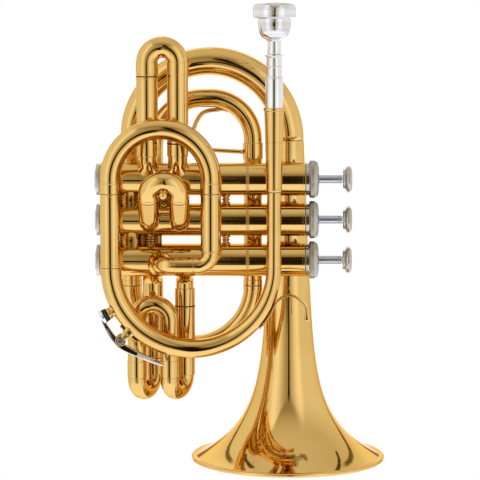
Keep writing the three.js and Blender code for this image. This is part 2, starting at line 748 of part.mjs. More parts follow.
const firstBowRun = bend([
  at(firstLeftPlace, firstDepth, firstLeftJoint + jointLineGap),
  at(firstLeftPlace, firstDepth, firstBowCentreHeight + firstBowRadius),
  at(firstRightPlace, firstDepth, firstBowCentreHeight + firstBowRadius),
  at(firstRightPlace, firstDepth, firstRightJoint + jointLineGap),
], firstBowRadius);
const firstBand = straightTube(firstOuterRadius + ferruleRise, firstBore + tubeWall / 2,
  firstBowCentreHeight - ferruleLength, firstBowCentreHeight);
solid("first_slide", joined(
  tubeAlong(firstBowRun, firstOuterRadius, firstBore, tubeSides),
  firstBand.clone().translate(firstRightPlace, firstDepth, 0),
  firstBand.clone().translate(firstLeftPlace, firstDepth, 0),
  straightTube(innerTubeRadius, innerTubeRadius - tubeWall, firstKnuckleTop + firstInnerClearance,
    firstBowCentreHeight).translate(firstLeftPlace, firstDepth, 0),
  straightTube(firstBore + tubeWall / 2, innerTubeRadius - tubeWall / 2, firstLeftJoint + jointLineGap,
    firstBowCentreHeight).translate(firstLeftPlace, firstDepth, 0),
), lacqueredBrass());

// Second slide: the elbows turn up the lean, and the slide is made upright and then leant over them
const secondWay = at(0, -Math.sin(secondLean), Math.cos(secondLean));
for (const [side, place] of [["left", secondLeftPlace], ["right", secondRightPlace]]) {
  const corner = at(place, secondTurnDepth, valveHeights[1]);
  const elbowEnd = corner.clone().addScaledVector(secondWay, secondFerruleReach - solderGap);
  const run = bend([at(place, -casingBore, valveHeights[1]), corner, elbowEnd], secondElbowBend);
  solid(`second_slide_elbow_${side}`,
    seatedOn(1, tubeAlong(run, secondElbowRadius, secondElbowRadius - tubeWall, tubeSides)),
    lacqueredBrass());
}
const leant = (geometry) => geometry.rotateX(secondLean).translate(0, secondTurnDepth, valveHeights[1]);
const secondBowRadius = (secondRightPlace - secondLeftPlace) / 2;
const secondElbowTrim = secondElbowBend * Math.tan((quarterTurn - secondLean) / 2);
const secondLegs = [secondLeftPlace, secondRightPlace].flatMap((place) => [
  straightTube(innerTubeRadius - solderGap, innerTubeRadius - solderGap - tubeWall,
    secondElbowTrim + secondInnerClearance, secondFerruleEnd),
  straightTube(secondBowTubeRadius + ferruleRise, innerTubeRadius - tubeWall, secondFerruleReach,
    secondFerruleEnd),
].map((leg) => leg.translate(place, 0, 0)));
const secondRun = bend([
  at(secondLeftPlace, 0, secondFerruleEnd - joinOverlap),
  at(secondLeftPlace, 0, secondBowReach + secondBowRadius),
  at(secondRightPlace, 0, secondBowReach + secondBowRadius),
  at(secondRightPlace, 0, secondFerruleEnd - joinOverlap),
], secondBowRadius);
const secondBow = tubeAlong(secondRun, secondBowTubeRadius, secondBowTubeRadius - tubeWall);
solid("second_slide", leant(joined(secondBow, ...secondLegs)), lacqueredBrass());

// Its knob: a plate on the crown's underside and a ball on a neck, made upright about the crown's centre line
const knobPlate = secondBowTubeRadius + knobPlateRise;
const knobWaist = knobPlate + knobPlateLength + knobWaistLength;
const knobWaistTurn = Math.acos(knobWaistRadius / knobBallRadius);
const knobBall = knobWaist + knobBallRadius * Math.sin(knobWaistTurn);
const knob = turned([
  [0, secondBowTubeRadius + solderGap], [knobNeckRadius, secondBowTubeRadius + solderGap],
  [knobNeckRadius, knobPlate], [knobPlateRadius, knobPlate],
  [knobPlateRadius, knobPlate + knobPlateLength], [knobWaistRadius, knobPlate + knobPlateLength],
  ...rounded(0, knobBall, knobBallRadius, -knobWaistTurn, quarterTurn, ballBands).slice(0, -1),
  [0, knobBall + knobBallRadius],
], turnedSides);
const secondCrown = at((secondLeftPlace + secondRightPlace) / 2, secondTurnDepth, valveHeights[1])
  .addScaledVector(secondWay, secondBowReach + secondBowRadius);
solid("second_slide_knob", knob.rotateX(knobTurn).translate(...secondCrown.toArray()), lacqueredBrass());

// Third slide: fixed tubes under the third valve, then one moving piece with two depth bows and a crown
const thirdDrop = (place, foot, outer, inner) => tubeAlong(bend([
  at(place, 0, valveHeights[2]), at(place, thirdFarDepth, thirdTurnHeight), at(place, thirdFarDepth, foot),
], knuckleBend), outer, inner, tubeSides);
const thirdLeftDrop = thirdDrop(thirdLeftPlace, thirdLeftJoint, outerTubeRadius, slideBore);
solid("third_slide_outer_tube", seatedOn(2, thirdLeftDrop), lacqueredBrass());
solid("third_slide_inner_tube", seatedOn(2, joined(
  thirdDrop(thirdRightPlace, thirdBowCentreHeight + thirdInnerClearance, innerTubeRadius,
    innerTubeRadius - tubeWall),
  straightTube(outerTubeRadius, innerTubeRadius - tubeWall / 2, thirdRightJoint, thirdFerruleTop)
    .translate(thirdRightPlace, thirdFarDepth, 0),
)), lacqueredBrass());
const thirdBowSpan = Math.hypot(thirdNearLeftPlace - thirdLeftPlace, thirdNearDepth - thirdFarDepth);
const thirdBowRadius = thirdBowSpan / 2;
const thirdCrownRadius = (thirdNearRightPlace - thirdNearLeftPlace) / 2;
const thirdBowFoot = thirdBowCentreHeight - thirdBowRadius;
const bowBetween = (place, nearPlace) => tubeAlong(bend([
  at(place, thirdFarDepth, thirdBowCentreHeight + joinOverlap), at(place, thirdFarDepth, thirdBowFoot),
  at(nearPlace, thirdNearDepth, thirdBowFoot),
  at(nearPlace, thirdNearDepth, thirdNearFerruleBottom + joinOverlap),
], Math.hypot(nearPlace - place, thirdNearDepth - thirdFarDepth) / 2), boreTubeRadius, mainBore);
const nearLegs = [thirdNearLeftPlace, thirdNearRightPlace].map((place) =>
  straightTube(boreTubeRadius + ferruleRise, mainBore + tubeWall / 2, thirdNearFerruleBottom,
    thirdNearFerruleTop).translate(place, thirdNearDepth, 0));
const crownRun = bend([
  at(thirdNearLeftPlace, thirdNearDepth, thirdNearFerruleTop - joinOverlap),
  at(thirdNearLeftPlace, thirdNearDepth, thirdCrownCentreHeight + thirdCrownRadius),
  at(thirdNearRightPlace, thirdNearDepth, thirdCrownCentreHeight + thirdCrownRadius),
  at(thirdNearRightPlace, thirdNearDepth, thirdNearFerruleTop - joinOverlap),
], thirdCrownRadius);
solid("third_slide", joined(
  bowBetween(thirdLeftPlace, thirdNearLeftPlace),
  bowBetween(thirdRightPlace, thirdNearRightPlace),
  tubeAlong(crownRun, boreTubeRadius, mainBore),
  ...nearLegs,
  straightTube(innerTubeRadius, innerTubeRadius - tubeWall, thirdBowCentreHeight,
    thirdFerruleTop - thirdInnerClearance).translate(thirdLeftPlace, thirdFarDepth, 0),
  straightTube(outerTubeRadius, innerTubeRadius - tubeWall / 2, thirdBowCentreHeight - joinOverlap,
    thirdLeftJoint - jointLineGap).translate(thirdLeftPlace, thirdFarDepth, 0),
  straightTube(outerTubeRadius, slideBore, thirdBowCentreHeight - joinOverlap,
    thirdRightJoint - jointLineGap).translate(thirdRightPlace, thirdFarDepth, 0),
), lacqueredBrass());

// Rear coil: from the first valve's back up over the inner arch, down to the rear bow and up to the bell bow
const archRadius = (archRightPlace - archLeftPlace) / 2;
const archTop = archCentreHeight + archRadius;
const archDown = bend([
  at(archLeftPlace, casingBore, valveHeights[0]), at(archLeftPlace, bellDepth, valveHeights[0]),
  at(archLeftPlace, bellDepth, archCentreHeight),
], archBend);
const archOver = bend([at(archLeftPlace, bellDepth, archCentreHeight - joinOverlap),
  at(archLeftPlace, bellDepth, archTop), at(archRightPlace, bellDepth, archTop),
  at(archRightPlace, bellDepth, rearBowCentreHeight + solderGap)], archRadius);
solid("inner_arch", seatedOn(0, joined(
  tubeAlong(archDown, boreTubeRadius, mainBore), tubeAlong(archOver, boreTubeRadius, mainBore),
  straightTube(outerTubeRadius, mainBore + tubeWall / 2, archFerruleBottom, archFerruleTop)
    .translate(archRightPlace, bellDepth, 0),
)), lacqueredBrass());

const rearBowRadius = (archRightPlace - rearBowLeftPlace) / 2;
const rearBowRun = bend([
  at(archRightPlace, bellDepth, rearBowCentreHeight),
  at(archRightPlace, bellDepth, rearBowCentreHeight - rearBowRadius),
  at(rearBowLeftPlace, bellDepth, rearBowCentreHeight - rearBowRadius),
  at(rearBowLeftPlace, bellDepth, rearBowCentreHeight),
], rearBowRadius);
solid("rear_bow", taper(tubeAlong(rearBowRun, boreTubeRadius, mainBore), rearBowRun, boreTubeRadius,
  (share) => boreTubeRadius + (outerTubeRadius - boreTubeRadius) * share), lacqueredBrass());

const bellBowRadius = (bellPlace - rearBowLeftPlace) / 2;
const bellBowTop = bellBowCentreHeight + bellBowRadius;
const bellBowRun = bend([
  at(rearBowLeftPlace, bellDepth, rearBowCentreHeight + solderGap),
  at(rearBowLeftPlace, bellDepth, bellBowTop),
  at(bellPlace, bellDepth, bellBowTop), at(bellPlace, bellDepth, bellBowCentreHeight),
], bellBowRadius);
const archStartShare = bellBowRun.lengthShares()[1];
const bellBowRadiusAt = (share) => {
  const archShare = Math.max(0, (share - archStartShare) / (1 - archStartShare));
  return outerTubeRadius + (bellBowEndRadius - outerTubeRadius) * Math.sqrt(archShare);
};
solid("bell_bow", taper(tubeAlong(bellBowRun, outerTubeRadius, outerTubeRadius - tubeWall),
  bellBowRun, outerTubeRadius, bellBowRadiusAt), lacqueredBrass());

// Bell: a long cone and a flare that dies away exponentially, ending in a rim rolled round a wire
const bellTop = bellBowCentreHeight - solderGap;
const flareReach = bellRimRadius - bellRimWire - bellConeRadius;
const bellRadiusAt = (height) =>
  bellConeRadius - bellConeSlope * height + flareReach * Math.exp((bellRimWire - height) / bellFlareHeight);
const bellHeights = Array.from({ length: bellFlareSteps + 1 }, (_, step) =>
  bellRimWire + (bellTop - bellRimWire) * (step / bellFlareSteps) ** bellStepPower);
const bellOutside = bellHeights.map((height) => [bellRadiusAt(height), height]);
const bellInside = bellHeights.slice(2).map((height) => [bellRadiusAt(height) - bellWall, height]).reverse();
const rimCentre = bellRimRadius - bellRimWire;
const bell = turned(closedRing([
  ...rounded(rimCentre, bellRimWire, bellRimWire, -quarterTurn, quarterTurn, 4),
  ...bellOutside.slice(1), ...bellInside,
  [bellRadiusAt(bellHeights[1]) - bellWall, bellHeights[1] - bellWall],
  [rimCentre - 2 * bellRimWire, 0],
]), bellSides);
solid("bell", bell.translate(bellPlace, bellDepth, 0), lacqueredBrass());

// Bent wire through points, as one closed rod
const bentWire = (places, radius, steps) => new THREE.ExtrudeGeometry(
  new THREE.Shape(ringOf(radius, wireSides)), { steps, extrudePath: new THREE.CatmullRomCurve3(places) });

// A flat strip bent edge-on to Y, so that its width stays along Y
class FlatArc extends THREE.CatmullRomCurve3 {
  computeFrenetFrames(steps) {
    const across = at(0, 1, 0);
    const tangents = Array.from({ length: steps + 1 }, (_, step) => this.getTangentAt(step / steps));
    const normals = tangents.map((tangent) => across.clone().cross(tangent).normalize());
    const binormals = tangents.map((tangent, turn) => tangent.clone().cross(normals[turn]));
    return { tangents, normals, binormals };
  }
}

function bentStrip(places, thickness, width, steps) {
  const section = new THREE.Shape([
    new THREE.Vector2(-thickness / 2, -width / 2), new THREE.Vector2(thickness / 2, -width / 2),
    new THREE.Vector2(thickness / 2, width / 2), new THREE.Vector2(-thickness / 2, width / 2),
  ]);
  return new THREE.ExtrudeGeometry(section, { steps, extrudePath: new FlatArc(places) });
}

// Finger hook on the front bow's right side: it lies along the bow, leaves it and curls over to its tip
const onFrontBow = (reach, turn) => frontBowCentre.clone()
  .add(at(reach * Math.cos(turn), 0, reach * Math.sin(turn)));
const onHookSeat = (turn) =>
  onFrontBow(frontBowRadius + frontBowRadiusAt(-turn / halfTurn) + solderGap + hookThickness / 2, turn);
const hookFootPlaces = Array.from({ length: hookFootSteps + 1 }, (_, step) =>
  onHookSeat(hookFootTurn + (hookLeaveTurn - hookFootTurn) * step / hookFootSteps));
const hookArc = hookShares.map(([along, up]) => onHookSeat(hookLeaveTurn)
  .add(at(along * hookReach, 0, up * hookRise)));
const hookTip = new THREE.SphereGeometry(1, boreSides, ballBands)
  .scale(hookTipRadius, hookWidth / 2, hookTipLength)
  .translate(...hookArc.at(-1).toArray());
const hookStrip = bentStrip([...hookFootPlaces, ...hookArc], hookThickness, hookWidth, hookSteps);
solid("finger_hook", joined(hookStrip, hookTip), lacqueredBrass());

// Thumb ring inside the inner arch: from the arch's underside round to its right leg
const archCentre = at((archLeftPlace + archRightPlace) / 2, bellDepth, archCentreHeight);
const archInside = archRadius - boreTubeRadius - solderGap;
const onArch = ([reach, turn]) => archCentre.clone()
  .add(at(Math.cos(turn * halfTurn), 0, Math.sin(turn * halfTurn)).multiplyScalar(reach * archInside));
const rodEnd = archRightPlace - outerTubeRadius - solderGap - archCentre.x;
const ringPlaces = [
  ...ringShares.map(onArch),
  ...ringRodShares.map((share) =>
    at(archCentre.x + rodEnd * share, bellDepth, ringRodHeight - ringRodFall * share)),
];
solid("thumb_ring", bentWire(ringPlaces, ringWireRadius, ringSteps), lacqueredBrass());

// Turned posts that hold the coils off the valve block
function post(length) {
  return turnedAlongY([
    [0, 0], [braceFootRadius, 0], [braceFootRadius, braceFootLength], [braceRadius, 2 * braceFootLength],
    [braceRadius, length - 2 * braceFootLength], [braceFootRadius, length - braceFootLength],
    [braceFootRadius, length], [0, length],
  ], turnedSides);
}
const leadpipePostStart = frontDepth + leadpipeRadius + solderGap;
const leadpipePost = post(-casingRadius - solderGap - leadpipePostStart)
  .translate(leadpipePlace, leadpipePostStart, valveHeights[1]);
solid("leadpipe_brace", leadpipePost, lacqueredBrass());
const rearPostEnd = bellDepth - boreTubeRadius - solderGap;
const rearPost = turnedAlongY([
  [0, 0], [braceRadius, 0], [braceRadius, rearPostEnd - 2 * braceFootLength],
  [braceFootRadius, rearPostEnd - braceFootLength], [braceFootRadius, rearPostEnd], [0, rearPostEnd],
], turnedSides);
const rearBraceHeight = valveHeights[0] + rearBraceOverValve;
solid("rear_brace", seatedOn(0, rearPost.translate(archRightPlace, 0, rearBraceHeight)), lacqueredBrass());

// Water key. Each piece is made about the bow's centre on +X, then turned to its place
const bowOutside = frontBowRadius + outerTubeRadius;
const toBow = (geometry, turn) =>
  geometry.rotateY(-turn).translate(frontBowCentre.x, frontDepth, frontBowCentre.z);
const nippleTop = bowOutside + nippleHeight;
const nipple = turnedAlongX(closedRing([
  [nippleRadius / 2, frontBowRadius], [nippleRadius, frontBowRadius],
  [nippleRadius, nippleTop], [nippleRadius / 2, nippleTop],
]), turnedSides);
solid("water_key_nipple", cut(toBow(nipple, waterKeyNippleTurn), frontBowSeat()), lacqueredBrass());
const corkBase = nippleTop + solderGap;
const corkTop = corkBase + corkHeight;
const padRadius = corkRadius - tubeWall;
const cork = turnedAlongX([[0, corkBase], [padRadius, corkBase], [padRadius, corkTop], [0, corkTop]],
  turnedSides);
solid("water_key_cork", toBow(cork, waterKeyNippleTurn), corkBlack());

// The lever: a cup over the cork, a hub round the screw and a tongue for the finger, joined by a curved bar
const hubReach = bowOutside + pivotHeight;
const cupBase = corkTop - corkCupHeight / 2;
const cupBack = cupBase + corkCupHeight + tubeWall;
const corkCup = turnedAlongX(closedRing([
  [padRadius + solderGap, cupBase], [corkCupRadius, cupBase],
  [corkCupRadius - tubeWall, cupBack], [0, cupBack],
  [0, corkTop + solderGap], [padRadius + solderGap, corkTop + solderGap],
]), turnedSides);
const hubAlongY = (radius, from, to) =>
  turnedAlongY([[0, from], [radius, from], [radius, to], [0, to]], turnedSides).translate(hubReach, 0, 0);
const hubFrom = -lugOffset + solderGap;
const hubTo = hubFrom + hubLength;
const barReach = cupBase + corkCupHeight;
const barPlaces = Array.from({ length: leverStations + 1 }, (_, step) => {
  const share = step / leverStations;
  const turn = waterKeyNippleTurn + (waterKeyTongueTurn - waterKeyNippleTurn) * share;
  const lift = hubReach + (barReach - hubReach) * Math.max(0, 1 - share / leverDropShare);
  return onFrontBow(lift, turn);
});
const leverBar = bentStrip(barPlaces, leverThickness, leverWidth, leverSteps);
const tongueInside = hubReach - leverThickness / 2;
const tongueOutside = hubReach + leverThickness / 2;
const tongue = toBow(turnedAlongX([[0, tongueInside], [tongueRadius, tongueInside],
  [tongueRadius, tongueOutside], [0, tongueOutside]], turnedSides), waterKeyTongueTurn);
const pastLugs = lugOffset + cutOverrun;
const screwHole = toBow(hubAlongY(pivotScrewRadius + slidingGap, -pastLugs, pastLugs), waterKeyPivotTurn);
const springRoomRadius = keySpringRadius + 2 * keySpringWire + solderGap;
const springRoom = toBow(hubAlongY(springRoomRadius, hubTo, pastLugs), waterKeyPivotTurn);
const leverHub = toBow(hubAlongY(pivotHubRadius, hubFrom, hubTo), waterKeyPivotTurn);
solid("water_key_lever", cut(joined(toBow(corkCup, waterKeyNippleTurn), leverBar, tongue, leverHub),
  screwHole, springRoom), silverPlate());

// Saddle: a foot on the bow and two lugs that hold the screw
const lugs = [-lugOffset - lugThickness, lugOffset].map((start) => joined(
  hubAlongY(lugRadius, start, start + lugThickness),
  new THREE.BoxGeometry(hubReach - frontBowRadius, lugThickness, lugWebWidth)
    .translate((hubReach + frontBowRadius) / 2, start + lugThickness / 2, 0),
));
const foot = new THREE.BoxGeometry(saddleFoot + outerTubeRadius, 2 * lugOffset + lugThickness, 2 * lugRadius)
  .translate(frontBowRadius + (saddleFoot + outerTubeRadius) / 2, 0, 0);
const lugHole = hubAlongY(pivotScrewRadius + solderGap, -lugOffset - lugThickness - cutOverrun,
  lugOffset + lugThickness + cutOverrun);
solid("water_key_saddle", cut(toBow(cut(joined(...lugs, foot), lugHole), waterKeyPivotTurn), frontBowSeat()),
  lacqueredBrass());
const screwEnd = lugOffset + lugThickness + solderGap;
const headFrom = -screwEnd - pivotScrewHeadLength;
const screw = turnedAlongY([
  [0, headFrom], [pivotScrewHead, headFrom], [pivotScrewHead, -screwEnd],
  [pivotScrewRadius, -screwEnd], [pivotScrewRadius, screwEnd], [0, screwEnd],
], turnedSides).translate(hubReach, 0, 0);
solid("water_key_screw", toBow(screw, waterKeyPivotTurn), springSteel());
const keySpring = coilSpring(keySpringRadius, keySpringWire, hubTo + solderGap, lugOffset - solderGap,
  keySpringTurns, keySpringStepsPerTurn, keySpringSides).rotateZ(quarterTurn).translate(hubReach, 0, 0);
solid("water_key_spring", toBow(keySpring, waterKeyPivotTurn), springSteel());

export default root;
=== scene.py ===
# %% [markdown]
# A pocket trumpet in lacquered brass, standing on its bell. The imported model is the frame: every
# piece below is made in its place and rides on its body. The frame's solids are faceted, so each
# one that shows gets a smooth surface here, with the small rings, rounded edges and turned lines
# that catch the light on a real horn.

# %% The frame
import json
import math
import bpy
import numpy as np
from mathutils import Euler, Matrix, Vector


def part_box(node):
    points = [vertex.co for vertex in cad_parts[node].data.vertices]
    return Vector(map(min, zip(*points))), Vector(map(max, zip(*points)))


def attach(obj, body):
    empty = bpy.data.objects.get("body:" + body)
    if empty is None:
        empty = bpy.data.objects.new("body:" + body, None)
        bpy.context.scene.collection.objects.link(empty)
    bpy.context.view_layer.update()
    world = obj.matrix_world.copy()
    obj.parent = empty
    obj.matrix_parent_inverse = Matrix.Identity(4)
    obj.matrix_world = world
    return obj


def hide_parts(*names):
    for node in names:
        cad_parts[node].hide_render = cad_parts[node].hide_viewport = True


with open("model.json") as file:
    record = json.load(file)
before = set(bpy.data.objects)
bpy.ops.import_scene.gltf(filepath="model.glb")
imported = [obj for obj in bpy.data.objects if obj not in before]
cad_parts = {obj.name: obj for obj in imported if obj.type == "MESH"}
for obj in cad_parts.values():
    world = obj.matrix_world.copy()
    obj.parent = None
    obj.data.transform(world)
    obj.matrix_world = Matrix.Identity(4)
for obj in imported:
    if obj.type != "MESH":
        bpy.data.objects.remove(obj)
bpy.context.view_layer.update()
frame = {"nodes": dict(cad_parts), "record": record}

record = frame["record"]
body_of = {node: body for body, nodes in record["behaviour"]["bodies"].items() for node in nodes}
slot_of = {part["node"]: part["material_slot"] for part in record["subparts"]}

# %% [markdown]
# Sizes are in millimetres, in the valve block's own frame: X runs along the valves towards the
# buttons, depth runs along Y from the plane of the three valves, and Z is the height over the
# floor. One shift takes that frame to the model's, whose origin is under the middle of its box.

# %% Units and the shift to the model's frame
MILLIMETRE = 0.001
BELL_PLACE, BELL_DEPTH, BELL_RIM = 41.0, 25.0, 62.0
CAP_LEFT = -80.1
SHIFT = np.array([-(BELL_PLACE + BELL_RIM + CAP_LEFT) / 2, -BELL_DEPTH, 0.0])
FULL = 2 * math.pi


def to_model(places):
    """Metres in the model's frame: (place + shift) times a thousandth."""
    return (np.asarray(places, float) + SHIFT) * MILLIMETRE


print("shift", SHIFT)

# %% [markdown]
# The camera stands 1.35 m in front of the valves, just under the mouthpiece's height, and looks
# down by six degrees. A long lens keeps the tubes parallel. It comes first, because everything
# else is judged through it.

# %% Camera
CAMERA_DISTANCE, CAMERA_PLACE, CAMERA_HEIGHT = 1350.0, 10.27, 287.76
CAMERA_TILT = math.radians(6.1)
PIXELS_PER_MM, PICTURE, SENSOR = 1.6, 480, 36.0

camera_data = bpy.data.cameras.new("camera")
camera_data.sensor_width = SENSOR
camera_data.lens = PIXELS_PER_MM * CAMERA_DISTANCE / math.cos(CAMERA_TILT) * SENSOR / PICTURE
camera = bpy.data.objects.new("camera", camera_data)
camera.location = to_model([CAMERA_PLACE, -CAMERA_DISTANCE, CAMERA_HEIGHT])
camera.rotation_euler = Euler((math.pi / 2 - CAMERA_TILT, 0, 0))
bpy.context.scene.collection.objects.link(camera)
bpy.context.scene.camera = camera
bpy.context.scene.view_settings.view_transform = "Standard"
print("lens", round(camera_data.lens, 1), "mm at", tuple(round(v, 4) for v in camera.location))

# %% [markdown]
# A horn is plumbing: nearly every piece is an outline carried along a centre line. A route is such
# a centre line, made of straights whose corners are bent to a radius. It answers one question:
# at this distance along, where is the middle, which way does the tube run and which way is its
# side? An arc turns the side vector with the tube, so the surface never twists.

# %% Routes
BEND_STEP = math.radians(4)


def unit(vector):
    return np.asarray(vector, float) / np.linalg.norm(vector)


def turned_about(vector, axis, angles):
    """The vector v turned by each t about the axis a: v cos t + (a x v) sin t + a (a.v)(1 - cos t)."""
    cosine, sine = np.cos(angles)[:, None], np.sin(angles)[:, None]
    return vector * cosine + np.cross(axis, vector) * sine + axis * (vector @ axis) * (1 - cosine)


class Route:
    """Straights between corners, each inner corner an arc of its radius. start is the distance
    that the first corner counts as, so an upright route from the floor measures heights."""

    def __init__(self, corners, radii=0.0, start=0.0):
        corners = [np.asarray(corner, float) for corner in corners]
        ways = [unit(b - a) for a, b in zip(corners, corners[1:])]
        turns = [math.acos(a @ b) for a, b in zip(ways, ways[1:])]
        radii = [*np.broadcast_to(radii, len(turns))]
        trims = [0.0, *(radius * math.tan(turn / 2) for radius, turn in zip(radii, turns)), 0.0]
        side = unit(np.cross(ways[0], [0, 1, 0])) if abs(ways[0][1]) < 0.9 else np.array([1.0, 0, 0])
        self.spans, self.start, self.end = [], start, start
        for k, way in enumerate(ways):
            begin = corners[k] + way * trims[k]
            length = np.linalg.norm(corners[k + 1] - corners[k]) - trims[k] - trims[k + 1]
            self.add(length, begin, way, side, None, 0.0)
            if k < len(turns):
                axis = unit(np.cross(way, ways[k + 1]))
                self.add(turns[k] * radii[k], begin + way * length, way, side, axis, radii[k])
                side = turned_about(side, axis, turns[k:k + 1])[0]

    def add(self, length, *span):
        self.spans.append((self.end, self.end + length, *span))
        self.end += length

    def at(self, distances):
        """Places, directions and sides at the given distances. On a straight the place is
        begin + way s; on an arc it is the centre plus the arm turned by s / radius."""
        distances = np.asarray(distances, float)
        places, ways, sides = np.zeros((3, len(distances), 3))
        for k, (low, _, begin, way, side, axis, radius) in enumerate(self.spans):
            mine = (distances >= low) | (k == 0)
            along = distances[mine] - low
            if axis is None:
                places[mine], ways[mine], sides[mine] = begin + along[:, None] * way, way, side
            else:
                inward, angles = np.cross(axis, way), along / radius
                places[mine] = begin + radius * (inward + turned_about(-inward, axis, angles))
                ways[mine], sides[mine] = (turned_about(v, axis, angles) for v in (way, side))
        return places, ways, sides

    def stations(self):
        """Distances inside the arcs, one for every few degrees of bend."""
        arcs = [np.linspace(low, high, max(2, round((high - low) / radius / BEND_STEP)) + 1)
                for low, high, *_, axis, radius in self.spans if axis is not None]
        return np.concatenate([np.zeros(0), *arcs])


class Through:
    """A smooth route through points in one upright plane, for bent wire and strip. Between two
    points it is the cubic whose ends follow the chords of their neighbours (Catmull-Rom)."""

    def __init__(self, points, steps):
        points = np.asarray(points, float)
        padded = np.vstack([2 * points[0] - points[1], points, 2 * points[-1] - points[-2]])
        share = np.linspace(0, 1, steps, endpoint=False)[:, None]
        pieces = [0.5 * (2 * b + (c - a) * share + (2 * a - 5 * b + 4 * c - d) * share ** 2
                         + (3 * b - a - 3 * c + d) * share ** 3)
                  for a, b, c, d in zip(padded, padded[1:], padded[2:], padded[3:])]
        self.line = np.vstack([*pieces, points[-1:]])
        self.along = np.concatenate([[0], np.cumsum(np.linalg.norm(np.diff(self.line, axis=0), axis=1))])
        self.start, self.end = 0.0, self.along[-1]

    def at(self, distances):
        """Places by linear interpolation of the fine line, ways from its slope, sides across Y."""
        places, ways = (np.stack([np.interp(distances, self.along, column) for column in table.T], 1)
                        for table in (self.line, np.gradient(self.line, self.along, axis=0)))
        ways /= np.linalg.norm(ways, axis=1, keepdims=True)
        return places, ways, np.cross([0, 1.0, 0], ways)

    def stations(self):
        return self.along[1:-1]


def upright(place, depth):
    """A vertical axis on which distances are heights over the floor."""
    return Route([(place, depth, 0), (place, depth, 300)])


def level(height):
    """A valve's axis, on which distances are places along X."""
    return Route([(-100, 0, height), (100, 0, height)], start=-100)


def fore_and_aft(place, height):
    """An axis along Y on which distances are depths behind the valves."""
    return Route([(place, -60, height), (place, 60, height)], start=-60)


def hairpin(first, second, depth, first_end, second_end, centre, rise=1):
    """Along one leg, round a half circle about that height and back along the other leg. The bend
    is at the top where rise is 1 and at the bottom where it is -1."""
    radius = abs(second - first) / 2
    bend = centre + rise * radius
    return Route([(first, depth, first_end), (first, depth, bend), (second, depth, bend),
                  (second, depth, second_end)], radius)


print("a hairpin of radius 20 and legs of 80 is", round(hairpin(0, 40, 0, 0, 0, 80).end, 1), "mm long")

# %% [markdown]
# An outline is a list of (distance, radius, rounding) corners that goes once round the wall's cut
# face. Real edges are never sharp, and on polished metal the rounded edge is what draws the
# bright line, so each corner is replaced by a small curve before it is carried along the route.

# %% Outlines
ROUNDING, CORNER_STEPS = 0.18, 3
CORNER_ROWS = CORNER_STEPS + 3
LARGEST_SHARE, HOLD = 0.42, 1.15


def stepped(start, *values):
    """A stepped outline from each radius and the distance where it ends: stepped(0, 5, 10, 6, 12)
    has radius 5 up to 10 and radius 6 from there to 12."""
    places = (start, *values[1::2])
    return [(end, radius) for radius, *ends in zip(values[::2], places, places[1:]) for end in ends]


def shifted(outline, start):
    """The outline with its distances counted from start."""
    return [(start + place, *rest) for place, *rest in outline]


def mirror(outline, total):
    """The outline from its other end, for a piece that is the same at both."""
    return [(total - place, *rest) for place, *rest in outline[::-1]]


def softened(outline):
    """Rounds each corner c by f: the curve (1-t)^2 a + 2t(1-t) c + t^2 b runs from a to b, which lie
    f back along the two sides. A holding point just outside each end keeps the flats flat.
    Returns (distance, radius, edge) rows, where edge is 1 on the rounded corners."""
    rows = np.array([(*corner, ROUNDING)[:3] for corner in outline], float)
    place = rows[:, :2]
    sides = [np.roll(place, shift, 0) - place for shift in (1, -1)]
    lengths = [np.maximum(np.linalg.norm(side, axis=1, keepdims=True), 1e-9) for side in sides]
    reach = np.minimum(rows[:, 2:], LARGEST_SHARE * np.minimum(*lengths))
    before, after = (side / length * reach for side, length in zip(sides, lengths))
    share = np.linspace(0, 1, CORNER_STEPS + 1)[:, None]
    curve = ((1 - share) ** 2 * (place + before)[:, None] + 2 * share * (1 - share) * place[:, None]
             + share ** 2 * (place + after)[:, None])
    held = np.concatenate([(place + before * HOLD)[:, None], curve, (place + after * HOLD)[:, None]], 1)
    edge = np.pad(np.ones(CORNER_STEPS + 1), 1) * (rows[:, 2:] > 0)
    return np.column_stack([held.reshape(-1, 2), edge.ravel()])


def laid_along(rows, route, closed):
    """Adds a row to each side of the outline at every station of the route's bends."""
    stations, laid = route.stations(), []
    for here, there in zip(rows, np.roll(rows, -1, 0) if closed else rows[1:]):
        low, high = sorted((here[0], there[0]))
        between = stations[(stations > low + 0.05) & (stations < high - 0.05)]
        share = ((between[::1 if here[0] < there[0] else -1] - here[0]) / (there[0] - here[0]))[:, None]
        laid += [here[None], here + (there - here) * share * [1, 1, 0]]
    rows = np.vstack([*laid, rows[:0] if closed else rows[-1:]])
    return rows[np.linalg.norm(np.diff(rows[:, :2], axis=0, prepend=rows[-1:, :2] + 1), axis=1) > 1e-4]


print("a plain washer's outline has", len(softened(stepped(0, 4, 1) + stepped(1, 6, 0))), "points")

# %% [markdown]
# One grid serves every tube and turned piece: a ring of points for each row of the outline. A wall
# closes on itself, so the last ring joins the first. A solid turned piece starts and ends on its
# axis, where one pole point closes the ring with a fan.

# %% Surfaces
COIL_STEPS = 40


def ring(first, second, sides):
    """Unit rings: cos t first + sin t second at evenly spaced angles t."""
    angle = np.arange(sides)[:, None] * FULL / sides
    return np.cos(angle) * first[:, None] + np.sin(angle) * second[:, None]


